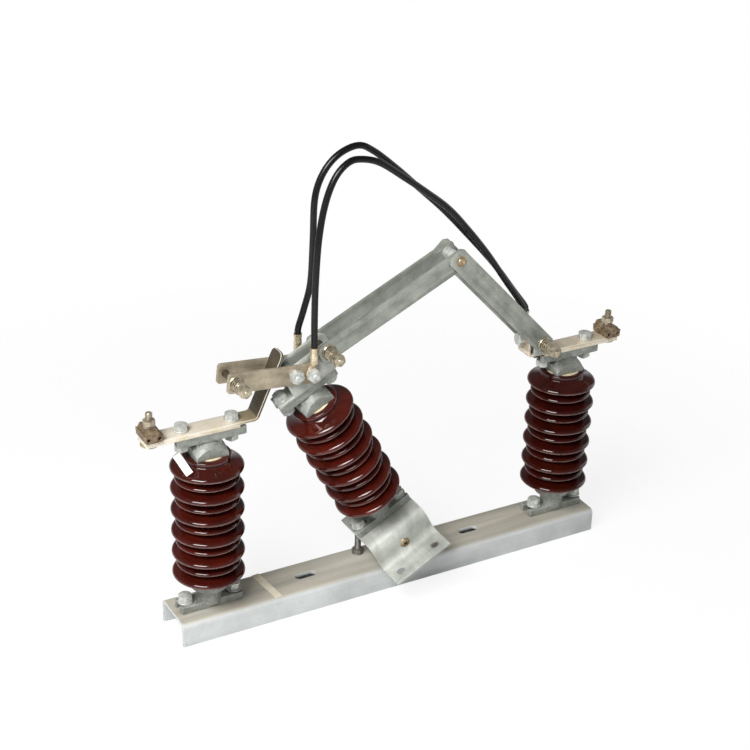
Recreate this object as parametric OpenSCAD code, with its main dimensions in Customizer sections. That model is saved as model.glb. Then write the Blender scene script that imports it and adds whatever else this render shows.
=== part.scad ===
// One pole of an outdoor three-post disconnect switch, shown closed.
// X runs along the base channel, Y away from the operating side, Z up; origin under the channel's middle.

/* [Base channel] */
// Length of the channel
channel_l = 715; // [680:1:760]
// Width across the flanges
channel_w = 77; // [70:1:90]
// Height of the flanges
channel_h = 38; // [34:1:50]
// Thickness of the web and flanges
channel_t = 5; // [4:0.5:6]
// Outer radius of the two long corners
channel_r = 8; // [6.5:0.5:10]
// Distance of each mounting slot from the middle
mount_slot_x = 143; // [110:1:170]
// Length of a mounting slot
mount_slot_l = 33; // [20:1:45]
// Width of a mounting slot
mount_slot_w = 13; // [9:0.5:16]
// Distance of the label strip from the left foot plate
label_gap = 44; // [30:1:50]
// Width of the label strip
label_w = 12; // [8:0.5:16]
// Turn of the label strip on the web
label_turn = 5; // [0:0.5:10]

/* [Insulator posts] */
// Distance of the foot plates from the channel's ends
foot_edge = 8.5; // [6:0.5:14]
// Height of a post from foot to top of head plate
post_h = 286; // [278:1:310]
// Diameter of the large sheds
shed_d = 105; // [98:1:110]
// Diameter of the small ridges between them
ridge_d = 93; // [84:1:96]
// Diameter of the porcelain core
core_d = 62; // [56:1:66]
// Number of large sheds
shed_n = 6; // [4:1:6]
// Height of the lowest shed's rim above the foot
first_shed = 58; // [55:0.5:62]
// Distance of the highest shed's rim below the head
last_shed = 19; // [16:0.5:22]
// Diameter of the collar under the head
collar_d = 68; // [66:0.5:70]
// Height of the collar under the head
collar_h = 6; // [4:0.5:7]
// Height of the foot casting
foot_h = 45; // [40:0.5:47]
// Height of the head casting
head_h = 36; // [32:0.5:40]

/* [Foot and head plates] */
// Length of the plates
plate_l = 98; // [94:1:104]
// Width of the plates
plate_w = 28; // [26:0.5:34]
// Thickness of the foot plate
foot_t = 12; // [10:0.5:14]
// Thickness of the head plate
head_t = 12; // [8:0.5:13]
// Width of the open slots in the plate ends
plate_slot_w = 14; // [13:0.5:16]
// Distance of the plate bolts from the plates' ends
plate_bolt_edge = 11; // [10:0.5:12]
// Depth of the open slots past the bolts
slot_in = 6; // [5:0.5:7]
// Shift of the right post's foot bolts in their slots
right_shift = 5; // [0:0.5:5]
// Diameter of the boss on the foot plate
boss_d = 36; // [30:1:40]
// Height of the cup on top of the boss
foot_cup_h = 12; // [9:0.5:14]
// Extra length of the end posts' head plates at their right ends
head_past = 7; // [0:0.5:8]
// Length of the flange under the head plate
flange_l = 49; // [42:1:50]
// Width of the flange under the head plate
flange_w = 44; // [40:1:46]
// Length of the neck between flange and head plate
neck_l = 38; // [34:1:40]
// Width of the neck between flange and head plate
neck_w = 22; // [18:0.5:24]

/* [Fasteners] */
// Diameter of the plate and finger bolts
bolt_d = 12; // [10:1:12]
// Width across flats of their heads and nuts
bolt_af = 18; // [16:0.5:18]
// Height of their heads
bolt_head_h = 7.5; // [6:0.5:9]
// Height of their nuts
nut_h = 10.5; // [7:0.5:11]
// Diameter of their washers
washer_d = 22; // [20:0.5:22]
// Thickness of a washer
washer_t = 2.5; // [1.5:0.5:3]
// Thickness of a spring washer
lock_t = 3; // [2:0.5:3.5]
// Length of thread that shows past a nut
thread_end = 3; // [2:0.5:5]
// Diameter of the spring bolts and clamp studs
stud_d = 10; // [8:1:10]
// Width across flats of their nuts
stud_af = 16; // [14:0.5:17]
// Height of their nuts
stud_nut_h = 7; // [5:0.5:9]
// Diameter of the springs
spring_d = 18; // [16:0.5:20]
// Length of a spring
spring_l = 14; // [10:0.5:20]
// Diameter of the spring washers' plates
cup_d = 23; // [21:0.5:25]

/* [Flat bars] */
// Width of every flat bar
bar_w = 30; // [26:0.5:32]
// Thickness of every flat bar
bar_t = 4; // [3:0.5:5]
// Length of the contact's terminal bars past the head plate
contact_bar_past = 46; // [42:1:56]
// Length of the hinge's terminal bars past the head plate
hinge_bar_past = 41; // [38:1:50]
// Distance from the left finger bolt to where the fingers grip the contact
contact_grip = 28; // [25:0.5:34]
// Height of the contact above its bar
contact_h = 94; // [86:1:98]
// Steepness of the contact
contact_angle = 66.5; // [64:0.5:70]

/* [Rocker] */
// Lean of the centre post when closed
lean = 28.3; // [26:0.1:30]
// Height of the rocker's pivot above the web
pivot_h = 44; // [42:0.5:48]
// Height of the centre post's foot above the pivot
rocker_foot = 30; // [28:0.5:34]
// Width of the rocker bracket past each end of the foot plate
bracket_past = 1; // [0.5:0.5:6]
// Thickness of the rocker bracket
bracket_t = 4; // [3:0.5:5]
// Inner bend radius of the rocker bracket
bracket_r = 8; // [5:0.5:10]
// Gap between the bracket's legs and the channel's sides
bracket_gap = 5; // [5:0.5:8]
// Reach of the operating flap past the front leg
flap_reach = 46; // [40:1:50]
// Depth of the flap below the pivot
flap_drop = 14; // [10:0.5:16]
// Distance of the flap's holes from the middle
flap_hole_x = 32; // [26:0.5:36]
// Diameter of the flap's holes
flap_hole_d = 13; // [9:0.5:14]
// Distance of the flap's holes from its front edge
flap_hole_edge = 18; // [14:0.5:22]
// Width of the back leg
back_leg_w = 32; // [28:1:40]
// Diameter of the pivot pin
pin_d = 12; // [10:0.5:14]
// Diameter of the pivot pin's head
pin_head_d = 16; // [15:0.5:18]
// Thickness of the bearing lugs
lug_t = 6; // [5:0.5:8]
// Radius of the bearing lugs' tops
lug_r = 14; // [12:0.5:15]
// Distance of the stop bolt from the middle
stop_x = 43; // [40:0.5:46]
// Distance of the stop bolt behind the middle line
stop_y = 20; // [12:0.5:21]

/* [Fingers and arms] */
// Thickness of the finger bracket
fork_t = 4; // [3:0.5:4]
// Height of the finger bracket's ears
ear_h = 47; // [46:0.5:52]
// Place of the right finger bolt along the head plate
finger_bolt_x = 15; // [13:0.5:16]
// Height of the right finger bolt above the head plate
finger_bolt_z = 21; // [20:0.5:23]
// Spacing of the finger bolts
finger_bolt_gap = 26; // [24:0.5:27]
// Slope of the closed fingers, down to the right
finger_slope = 5; // [3:0.5:7]
// Length of a finger past its left bolt
finger_reach = 103; // [98:1:108]
// Distance from a bar's end to its end hole
end_dist = 12; // [11:0.5:13]
// Place of the left arm's hinge along the head plate
arm_hinge_x = 51.5; // [50:0.5:53]
// Height of the left arm's hinge above the head plate
arm_hinge_z = 33; // [32:0.5:34]
// Place of the closed arms' apex along the channel
apex_x = 89; // [80:1:98]
// Height of the closed arms' apex above the web
apex_z = 476; // [460:1:490]
// Distance of the right arm's hinge past the head plate
hinge_past = 6; // [5:0.5:9]
// Height of the right arm's hinge above the terminal bars
hinge_z = 19; // [18:0.5:22]
// Height of the cable tab above the terminal bars
tab_h = 38; // [36:0.5:42]

/* [Terminal clamps] */
// Length of a clamp along the bar
clamp_l = 26; // [25:0.5:28]
// Width of a clamp across the bar
clamp_w = 37; // [32:0.5:40]
// Height of a clamp
clamp_h = 17; // [16:0.5:20]
// Thickness of a clamp's flanges
clamp_wall = 2.2; // [1.8:0.1:2.4]
// Height of the grooves' middle
groove_z = 5.6; // [5:0.2:6]
// Radius of the conductor grooves
groove_r = 2.6; // [2:0.1:2.8]
// Distance of a clamp's stud from the bar's end
clamp_stud = 11; // [11:0.5:14]
// Diameter of the round head under the bar
stud_head_d = 27; // [24:0.5:29]

/* [Cables] */
// Diameter of the cables
cable_d = 9.5; // [8:0.5:10]
// Diameter of the crimp barrels
barrel_d = 12; // [11:0.5:13]
// Length of the crimp barrels
barrel_l = 24; // [20:0.5:28]
// Thickness of the lugs' palms
palm_t = 2.5; // [2:0.5:3]
// Length of the lugs' necks between palm and barrel
lug_neck = 9; // [7:0.5:11]
// Sideways offset of the tab lugs' barrels
barrel_off = 7; // [6:0.5:8]
// Gap between the tab and the hinge bolt
tab_gap = 12; // [12:0.5:14]

/* [Clearances] */
// Side gap between moving flat pieces
side_clear = 0.3; // [0.2:0.05:0.5]
// Gap around a turning pin
pin_clear = 0.2; // [0.1:0.05:0.3]
// Gap around a bolt in its hole
bolt_clear = 0.5; // [0.3:0.1:1]

/* [Hidden] */

$fn = 48;
eps = 0.01;

web_z = channel_h;
post_x = channel_l / 2 - foot_edge - plate_l / 2;
label_x = post_x - plate_l / 2 - label_gap;
bracket_w = plate_l + 2 * bracket_past;
hinge_x = plate_l / 2 + hinge_past;
left_reach = plate_l / 2 + contact_bar_past;
right_reach = plate_l / 2 + hinge_bar_past;
plate_bolt_x = plate_l / 2 - plate_bolt_edge;
shed_pitch = (post_h - head_h - first_shed - last_shed) / (shed_n - 1);
bar_z = web_z + post_h;
bar_top = bar_z + 2 * bar_t;
pivot_z = web_z + pivot_h;
bolt_hole_d = bolt_d + 2 * bolt_clear;
stud_hole_d = stud_d + 2 * pin_clear;

// Layers outward from the middle plane: ears, then fingers and left arm, then right arm
ear_y = bar_w / 2 + side_clear;
left_bar_y = ear_y + side_clear;
right_bar_y = left_bar_y + bar_t + side_clear;
hinge_ear_y = right_bar_y - side_clear;

// Places in the leaning rocker's frame, turned into places along the channel and above the floor
function rocker_x(x, z) = x * cos(lean) - z * sin(lean);
function rocker_z(x, z) = pivot_z + x * sin(lean) + z * cos(lean);

head_top = rocker_foot + post_h;
finger_turn = lean + finger_slope;
finger_end = finger_bolt_gap + finger_reach;
arm_pivot = [rocker_x(arm_hinge_x, head_top + arm_hinge_z), rocker_z(arm_hinge_x, head_top + arm_hinge_z)];
apex = [apex_x, web_z + apex_z];
hinge = [post_x - hinge_x, bar_top + hinge_z];
lug_base = [
  rocker_x(finger_bolt_x, head_top + finger_bolt_z),
  rocker_z(finger_bolt_x, head_top + finger_bolt_z)
];

// The rocker bracket's legs and fold, and its underside's height above the floor over a place on the channel
bracket_y = channel_w / 2 + bracket_gap;
outer_y = bracket_y + bracket_t;
fold_r = bracket_r + bracket_t;
limb_under = rocker_foot - bracket_t;
function limb_z(x) = rocker_z((x + limb_under * sin(lean)) / cos(lean), limb_under);

// Where the fingers grip the contact, and the contact's bend below it
grip_run = finger_bolt_gap + contact_grip;
grip = lug_base + grip_run * [-cos(finger_slope), sin(finger_slope)];
contact_foot = [grip[0] - (grip[1] - bar_z - bar_t) / tan(contact_angle), bar_z + bar_t];

// Corner cut of the arms' bars
arm_cut = 6;

// The cable tab's near face and its bolt
tab_x = hinge[0] - stud_d / 2 - tab_gap - bar_t;
tab_bolt_z = bar_top + tab_h - bolt_af * 0.8;

// Reach of the lower bars past the post's axis on the inner side, and the studs of both terminal clamps
lower_past = plate_l / 2 - bar_t;
stud_x = [clamp_stud - post_x - left_reach, post_x + right_reach - clamp_stud];

// Mouths of the crimp barrels, where the cables start and end
lug_rise = washer_d / 2 - 1 + lug_neck + barrel_l;
finger_mouth_y = ear_y + bar_t + barrel_d / 2;
finger_mouth_z = lug_base[1] + lug_rise + side_clear;
tab_mouth_z = tab_bolt_z + lug_rise + side_clear;
front_from = [lug_base[0], -finger_mouth_y, finger_mouth_z];
front_to = [tab_x - palm_t - barrel_d / 2, -barrel_off, tab_mouth_z];
back_from = [lug_base[0], finger_mouth_y, finger_mouth_z];
back_to = [tab_x - palm_t + barrel_d / 2, barrel_off, tab_mouth_z];

// Lie of the cables, from the finger lugs over the arms to the cable tab, as steps from both mouths
front_rise = [
  [0, 0, 0], [0, 0, 12], [0, 0.5, 41], [1.5, 2, 91], [6.5, 4, 156], [16.5, 6, 206], [31.5, 7, 241],
  [51.5, 8, 259], [71.5, 8, 261], [101.5, 9, 251], [141.5, 10, 223]
];
front_fall = [
  [-188, -7, 229], [-148, -6, 197], [-116, -5, 163], [-76, -3, 115], [-38, -1, 63], [-11, 0, 26], [-1, 0, 8],
  [0, 0, 0]
];
back_rise = [
  [0, 0, 0], [1, 0, 10], [9, -0.5, 36], [18, -2, 76], [20, -4, 141], [21, -6, 201], [33, -7, 236],
  [55, -8, 259], [84, -9, 268], [108, -9, 257], [142, -11, 229]
];
back_fall = [
  [-197, 6, 227], [-152, 5, 185], [-107, 3, 137], [-62, 1, 86], [-24, 0, 36], [-3, 0, 9], [0, 0, 0]
];

// Shared shapes

module on_rocker() {
  translate([0, 0, pivot_z]) rotate([0, -lean, 0]) children();
}

module on_post(x) {
  translate([x, 0, web_z]) children();
}

// A flat profile drawn in X and Z, as thick as t, with its near face at y
module side_plate(y, t) {
  translate([0, y + t, 0]) rotate([90, 0, 0]) linear_extrude(t) children();
}

// A pin along Y from y0 to y1
module cross_pin(x, z, d, y0, y1) {
  translate([x, y0, z]) rotate([-90, 0, 0]) cylinder(d = d, h = y1 - y0);
}

module cross_hex(x, z, af, y0, y1) {
  translate([x, y0, z]) rotate([-90, 0, 0]) hexagon(af, y1 - y0);
}

module hexagon(af, h) {
  cylinder(d = af / cos(30), h = h, $fn = 6);
}

// A hex bolt with its seat at z = 0: washer, spring washer where it has one, head, and nut under the stack
module plate_bolt(stack, lock) {
  nut_z = -stack - nut_h;
  head_z = washer_t + lock;
  cylinder(d = washer_d, h = washer_t);
  if (lock > 0) translate([0, 0, washer_t]) cylinder(d = washer_d - 3, h = lock);
  translate([0, 0, head_z]) hexagon(bolt_af, bolt_head_h);
  translate([0, 0, nut_z - thread_end]) cylinder(d = bolt_d, h = head_z + thread_end - nut_z);
  translate([0, 0, nut_z]) hexagon(bolt_af, nut_h);
}

module plate_bolts(seat, stack, lock) {
  for (side = [-1, 1]) translate([side * plate_bolt_x, 0, seat]) plate_bolt(stack, lock);
}

// A plate with rounded corners and an open slot in each end, its right end longer by past
module slotted_plate(t, past = 0) {
  corner = 3;
  slot_x = plate_bolt_x - slot_in;
  linear_extrude(t) difference() {
    translate([past / 2, 0]) {
      square([plate_l + past - 2 * corner, plate_w], center = true);
      square([plate_l + past, plate_w - 2 * corner], center = true);
      for (x = [-1, 1], y = [-1, 1])
        translate([x * ((plate_l + past) / 2 - corner), y * (plate_w / 2 - corner)]) circle(r = corner);
    }
    for (side = [-1, 1]) {
      translate([side * slot_x, 0]) circle(d = plate_slot_w);
      translate([side * (slot_x + plate_l / 2), 0]) square([plate_l, plate_slot_w], center = true);
    }
  }
}

// The foot casting: slotted plate, round boss and the cup that holds the porcelain
module foot() {
  cup_r = core_d / 2 - 3;
  cup_z = foot_h - foot_cup_h;
  slotted_plate(foot_t);
  rotate_extrude() polygon([
    [0, foot_t / 2], [boss_d / 2, foot_t / 2], [boss_d / 2, cup_z - 5], [cup_r, cup_z],
    [cup_r, foot_h], [0, foot_h]
  ]);
}

// The head casting: flange cut from a cone, so that its faces are arched, then neck and slotted plate
module head(past = 0) {
  low = post_h - head_h;
  neck_z = post_h - head_t;
  rise = neck_z - low;
  cone_r = norm([flange_l, flange_w]) / 2;
  translate([0, 0, neck_z]) slotted_plate(head_t, past);
  translate([-neck_l / 2, -neck_w / 2, low]) cube([neck_l, neck_w, rise + eps]);
  intersection() {
    translate([-flange_l / 2, -flange_w / 2, low]) cube([flange_l, flange_w, rise]);
    rotate_extrude() polygon([
      [0, low], [cone_r, low], [cone_r, low + rise * 0.24], [flange_w / 2, low + rise * 0.68],
      [neck_w / 2, low + rise], [0, low + rise]
    ]);
  }
}

// Profile points of one shed with its rim at height z
function shed_points(d, z, thick) = [
  [core_d / 2, z - thick], [d / 2 - 3, z - thick * 0.8], [d / 2 - 0.8, z - thick * 0.5], [d / 2, z],
  [d / 2 - 0.8, z + thick * 0.5], [d / 2 - 3, z + thick * 0.8], [core_d / 2, z + thick * 2]
];

// The ribbed porcelain body between foot and head
module porcelain() {
  rims = [
    for (i = [0 : 2 * shed_n - 2])
      let (z = first_shed + i * shed_pitch / 2)
      i % 2 == 0 ? shed_points(shed_d, z, shed_pitch * 0.12) : shed_points(ridge_d, z, shed_pitch * 0.09)
  ];
  top = post_h - head_h;
  rotate_extrude() polygon(concat(
    [[0, foot_h], [core_d / 2, foot_h]],
    [for (i = [0 : len(rims) - 1]) for (j = [i == 0 ? 1 : 0 : len(rims[i]) - 1]) rims[i][j]],
    [[collar_d / 2, top - collar_h], [collar_d / 2, top], [0, top]]
  ));
}

// A spring bolt along -Y from the seat: cup washer, spring, cup washer and two nuts; its head is at the back
module spring_bolt(x, z, seat, back) {
  cup_t = washer_t;
  spring_y = seat - cup_t - spring_l;
  nut_y = spring_y - cup_t - stud_nut_h;
  lock_y = nut_y - stud_nut_h;
  cross_pin(x, z, cup_d, seat - cup_t, seat);
  cross_pin(x, z, spring_d, spring_y, spring_y + spring_l);
  cross_pin(x, z, cup_d - 3, spring_y - cup_t, spring_y);
  cross_hex(x, z, stud_af, lock_y, nut_y + stud_nut_h);
  cross_pin(x, z, stud_d, lock_y - thread_end, back + eps);
  cross_hex(x, z, stud_af, back, back + stud_nut_h);
}

// A flat bar in X and Z from one hinge point to another, with an end distance and corner cut at each end
module arm_profile(from, to, past_from, past_to, cut) {
  span = norm(to - from);
  turn = atan2(to[1] - from[1], to[0] - from[0]);
  half = bar_w / 2;
  translate(from) rotate(turn) polygon([
    [-past_from + cut, -half], [span + past_to - cut, -half], [span + past_to, cut - half],
    [span + past_to, half - cut], [span + past_to - cut, half], [cut - past_from, half],
    [-past_from, half - cut], [-past_from, cut - half]
  ]);
}

module hole(at, d) {
  translate(at) circle(d = d);
}

// A crimp lug: palm around the bolt at the origin, lying on x = 0, and barrel up along Z, shifted sideways
module lug(shift, outward) {
  palm_w = washer_d - 2;
  barrel_z = palm_w / 2 + lug_neck;
  barrel_x = outward ? barrel_d / 2 : palm_t - barrel_d / 2;
  difference() {
    union() {
      rotate([90, 0, 90]) linear_extrude(palm_t) {
        circle(d = palm_w);
        polygon([
          [-barrel_d / 2, 0], [barrel_d / 2, 0], [shift + barrel_d / 2, barrel_z + 1],
          [shift - barrel_d / 2, barrel_z + 1]
        ]);
      }
      translate([barrel_x, shift, barrel_z]) cylinder(d = barrel_d, h = barrel_l);
    }
    translate([-eps, 0, 0]) rotate([0, 90, 0]) cylinder(d = bolt_hole_d, h = palm_t + 2 * eps);
  }
}

// A round tube swept along route points
function unit(v) = v / norm(v);
function route_dir(route, i) = unit(route[min(i + 1, len(route) - 1)] - route[max(i - 1, 0)]);
function route_ring(route, i, d, sides) =
  let (along = route_dir(route, i), across = unit(cross(along, [0, 1, 0])), over = cross(across, along))
  [for (k = [0 : sides - 1]) route[i] + d / 2 * (cos(360 * k / sides) * across + sin(360 * k / sides) * over)];
function smooth(a, b, c, d, t) =
  0.5 * (2 * b + (c - a) * t + (2 * a - 5 * b + 4 * c - d) * t * t + (3 * b - a - 3 * c + d) * t * t * t);
function refine(route) = [
  for (i = [0 : len(route) - 2])
    for (t = [0, 0.5])
      smooth(route[max(i - 1, 0)], route[i], route[i + 1], route[min(i + 2, len(route) - 1)], t),
  route[len(route) - 1]
];

module cable(from, rise, to, fall) {
  sides = 10;
  path = refine(concat([for (p = rise) from + p], [for (p = fall) to + p]));
  last = len(path) - 1;
  points = [for (i = [0 : last]) for (p = route_ring(path, i, cable_d, sides)) p];
  walls = [
    for (i = [0 : last - 1])
      for (k = [0 : sides - 1])
        let (n = (k + 1) % sides)
        [i * sides + k, i * sides + n, (i + 1) * sides + n, (i + 1) * sides + k]
  ];
  first_cap = [for (k = [sides - 1 : -1 : 0]) k];
  last_cap = [for (k = [0 : sides - 1]) last * sides + k];
  polyhedron(points, concat(walls, [first_cap, last_cap]));
}

// Base

module base_channel() {
  color("gainsboro") difference() {
    rotate([90, 0, 90]) translate([0, 0, -channel_l / 2]) linear_extrude(channel_l) channel_profile();
    for (side = [-1, 1]) translate([side * mount_slot_x, 0, 0]) long_slot(mount_slot_l, mount_slot_w);
    for (x = [-post_x, post_x + right_shift], side = [-1, 1])
      translate([x + side * plate_bolt_x, 0, 0]) cylinder(d = bolt_hole_d, h = 2 * channel_h);
  }
}

module channel_profile() {
  inner_r = channel_r - channel_t;
  difference() {
    round_top(channel_w, channel_h, channel_r);
    translate([0, -eps]) round_top(channel_w - 2 * channel_t, channel_h - channel_t + eps, inner_r);
  }
}

// A rectangle on the floor line with its two upper corners rounded
module round_top(w, h, r) {
  translate([-w / 2, 0]) square([w, h - r]);
  translate([r - w / 2, 0]) square([w - 2 * r, h]);
  for (side = [-1, 1]) translate([side * (w / 2 - r), h - r]) circle(r = r);
}

module long_slot(l, w) {
  run = l - w;
  translate([0, 0, channel_h]) cube([run, w, 2 * channel_h], center = true);
  for (side = [-1, 1]) translate([side * run / 2, 0, 0]) cylinder(d = w, h = 2 * channel_h);
}

module label_strip() {
  label_l = channel_w - channel_r;
  color("tan") translate([-label_x, 0, web_z]) rotate(label_turn)
    translate([-label_w / 2, -label_l / 2, 0]) cube([label_w, label_l, 0.4]);
}

// Two upright lugs on the web that carry the rocker's pin
module pivot_lugs() {
  lug_y = channel_w / 2 - channel_r;
  color("silver") difference() {
    for (side = [0, 1]) mirror([0, side, 0]) side_plate(lug_y - lug_t, lug_t) {
      translate([-lug_r, web_z]) square([2 * lug_r, pivot_h]);
      translate([0, pivot_z]) circle(r = lug_r);
    }
    cross_pin(0, pivot_z, pin_d + 2 * pin_clear, -channel_w, channel_w);
  }
}

// A bolt on the web that the closed rocker leans on
module stop_bolt() {
  top = limb_z(-stop_x - stud_d / 2) - side_clear;
  color("darkgray") translate([-stop_x, stop_y, 0]) {
    translate([0, 0, web_z]) cylinder(d = stud_d, h = top - web_z);
    translate([0, 0, web_z]) hexagon(stud_af, stud_nut_h);
  }
}

module left_foot() {
  color("silver") on_post(-post_x) foot();
}

module left_porcelain() {
  color("maroon") on_post(-post_x) porcelain();
}

module left_head() {
  color("silver") on_post(-post_x) head(head_past);
}

module right_foot() {
  color("silver") on_post(post_x) foot();
}

module right_porcelain() {
  color("maroon") on_post(post_x) porcelain();
}

module right_head() {
  color("silver") on_post(post_x) head(head_past);
}

module foot_bolts() {
  color("silver") for (x = [-post_x, post_x + right_shift]) on_post(x)
    plate_bolts(foot_t, foot_t + channel_t, lock_t);
}

module head_bolts() {
  color("silver") for (side = [-1, 1]) on_post(side * post_x)
    plate_bolts(post_h + 2 * bar_t, head_t + 2 * bar_t, 0);
}

// Terminals

module bar_holes(x) {
  for (side = [-1, 1]) translate([x + side * plate_bolt_x, 0, bar_z - eps])
    cylinder(d = bolt_hole_d, h = 2 * bar_t + 2 * eps);
}

module stud_hole(x) {
  translate([x, 0, bar_z - eps]) cylinder(d = stud_hole_d, h = 2 * bar_t + 2 * eps);
}

module left_terminal_bar() {
  color("burlywood") difference() {
    translate([-post_x - left_reach, -bar_w / 2, bar_z]) cube([left_reach + lower_past, bar_w, bar_t]);
    bar_holes(-post_x);
    stud_hole(stud_x[0]);
  }
}

// The upper bar, bent up into the blade that the fingers grip, with its tip's corners cut
module fixed_contact() {
  tip = contact_h / tan(contact_angle);
  skew = bar_t / sin(contact_angle);
  fold = bar_t / tan(contact_angle);
  tip_cut = 8;
  color("burlywood") difference() {
    translate([0, bar_w / 2, 0]) rotate([90, 0, 0]) linear_extrude(bar_w) polygon([
      [-post_x - left_reach, contact_foot[1]], contact_foot, contact_foot + [tip, contact_h],
      contact_foot + [tip - skew, contact_h], contact_foot + [fold - skew, bar_t],
      [-post_x - left_reach, contact_foot[1] + bar_t]
    ]);
    bar_holes(-post_x);
    stud_hole(stud_x[0]);
    for (side = [-1, 1]) translate([contact_foot[0], side * bar_w / 2, contact_foot[1] + contact_h])
      rotate([45, 0, 0]) cube([4 * tip, tip_cut * sqrt(2), tip_cut * sqrt(2)], center = true);
  }
}

module right_terminal_bar() {
  color("burlywood") difference() {
    translate([post_x - lower_past, -bar_w / 2, bar_z]) cube([right_reach + lower_past, bar_w, bar_t]);
    bar_holes(post_x);
    stud_hole(stud_x[1]);
  }
}

// The upper bar, bent up into the tab that takes the cables
module hinge_bar() {
  color("burlywood") difference() {
    union() {
      translate([tab_x, -bar_w / 2, bar_z + bar_t]) cube([post_x + right_reach - tab_x, bar_w, bar_t]);
      translate([tab_x, -bar_w / 2, bar_z + bar_t]) cube([bar_t, bar_w, bar_t + tab_h]);
    }
    bar_holes(post_x);
    stud_hole(stud_x[1]);
    translate([tab_x - eps, 0, tab_bolt_z]) rotate([0, 90, 0]) cylinder(d = bolt_hole_d, h = bar_t + 2 * eps);
  }
}

// A clamp part drawn in X and Z across the bar, with the stud's hole and both conductor grooves
module clamp_part() {
  groove_x = stud_hole_d / 2 + groove_r + side_clear;
  for (x = stud_x) translate([x, 0, bar_top]) difference() {
    translate([0, clamp_w / 2, 0]) rotate([90, 0, 0]) linear_extrude(clamp_w) difference() {
      children();
      for (side = [-1, 1]) translate([side * groove_x, groove_z]) circle(r = groove_r);
    }
    translate([0, 0, -eps]) cylinder(d = stud_hole_d, h = 2 * clamp_h);
  }
}

// The lower jaws, with flanges that lean outward
module clamp_bases() {
  half = clamp_l / 2;
  wall = clamp_wall;
  flange_z = clamp_h * 0.68;
  color("peru") clamp_part() polygon([
    [wall / 2 - half, 0], [half - wall / 2, 0], [half, flange_z], [half - wall, flange_z],
    [half - wall, groove_z],
    [wall - half, groove_z], [wall - half, flange_z], [-half, flange_z]
  ]);
}

// The upper jaws, roof-shaped between the flanges
module clamp_saddles() {
  half = clamp_l / 2 - clamp_wall - side_clear;
  flat = stud_d * 0.7;
  color("peru") clamp_part() polygon([
    [-half, groove_z], [half, groove_z], [half, clamp_h * 0.6], [flat, clamp_h], [-flat, clamp_h],
    [-half, clamp_h * 0.6]
  ]);
}

// A round-headed stud under each bar's end, with spring washer and nut on the clamp
module clamp_studs() {
  top = bar_top + clamp_h;
  head_h = 3;
  color("tan") for (x = stud_x) translate([x, 0, 0]) {
    translate([0, 0, bar_z - head_h]) cylinder(d = stud_head_d, h = head_h);
    translate([0, 0, bar_z - eps]) cylinder(d = stud_d, h = top + lock_t + stud_nut_h + 1.2 * stud_d - bar_z);
    translate([0, 0, top]) cylinder(d = stud_af, h = lock_t);
    translate([0, 0, top + lock_t]) hexagon(stud_af, stud_nut_h + 1);
  }
}

// A blank tag that hangs from the left head's outer nut
module paper_tag() {
  tag_w = 11;
  tag_l = 33;
  tag_t = 0.4;
  nut_z = web_z + post_h - head_t - nut_h;
  color("white") translate([-post_x - plate_bolt_x - bolt_af * 0.3, -bolt_af * 0.3, nut_z])
    rotate([48, 43, -64]) translate([0, -tag_w, -tag_t]) cube([tag_l, tag_w, tag_t]);
}

// The two ears on the right terminal that carry the right arm's hinge bolt
module hinge_bracket() {
  foot_l = hinge_x - plate_bolt_x - washer_d / 2;
  foot_x = hinge[0] - stud_d;
  ear_r = bar_w / 2 - 1;
  color("silver") difference() {
    union() {
      translate([foot_x, -hinge_ear_y, bar_top]) cube([foot_l, 2 * hinge_ear_y, bar_t]);
      for (side = [0, 1]) mirror([0, side, 0]) side_plate(-hinge_ear_y, bar_t) {
        translate([hinge[0] - ear_r, bar_top]) square([2 * ear_r, hinge_z]);
        translate(hinge) circle(r = ear_r);
      }
    }
    cross_pin(hinge[0], hinge[1], stud_hole_d, -2 * hinge_ear_y, 2 * hinge_ear_y);
  }
}

module hinge_spring_bolt() {
  outer = right_bar_y + bar_t + side_clear;
  color("khaki") spring_bolt(hinge[0], hinge[1], -outer, outer);
}

// The cable lugs, stacked on the tab's near face
module front_tab_lug() {
  color("lightgray") translate([tab_x - palm_t, 0, tab_bolt_z]) mirror([1, 0, 0]) lug(-barrel_off, true);
}

module back_tab_lug() {
  color("lightgray") translate([tab_x, 0, tab_bolt_z]) mirror([1, 0, 0]) lug(barrel_off, false);
}

module tab_bolt() {
  seat = tab_x - 2 * palm_t;
  nut_x = tab_x + bar_t;
  thin_nut = nut_h * 0.7;
  color("lightgray") translate([0, 0, tab_bolt_z]) rotate([0, 90, 0]) {
    translate([0, 0, seat - bolt_head_h]) hexagon(bolt_af, bolt_head_h);
    translate([0, 0, seat - eps]) cylinder(d = bolt_d, h = nut_x + thin_nut + thread_end / 2 - seat);
    translate([0, 0, nut_x]) hexagon(bolt_af, thin_nut);
  }
}

// Rocker

// A quarter ring in the plane, from the start angle
module bend(at, start) {
  translate(at) rotate(start) intersection() {
    difference() {
      circle(r = bracket_r + bracket_t);
      circle(r = bracket_r);
    }
    square(2 * (bracket_r + bracket_t));
  }
}

// A profile in Y and Z along the rocker's width
module rocker_profile(w) {
  on_rocker() rotate([90, 0, 90]) translate([0, 0, -w / 2]) linear_extrude(w) children();
}

module pin_hole() {
  on_rocker() cross_pin(0, 0, pin_d + 2 * pin_clear, -2 * channel_w, 2 * channel_w);
}

// The bent bracket's flat top, which carries the centre post
module rocker_plate() {
  color("lightgray") difference() {
    rocker_profile(bracket_w) translate([fold_r - outer_y, limb_under])
      square([2 * outer_y - fold_r, bracket_t]);
    on_rocker() for (side = [-1, 1]) translate([side * plate_bolt_x, 0, limb_under - eps])
      cylinder(d = bolt_hole_d, h = bracket_t + 2 * eps);
  }
}

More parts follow.
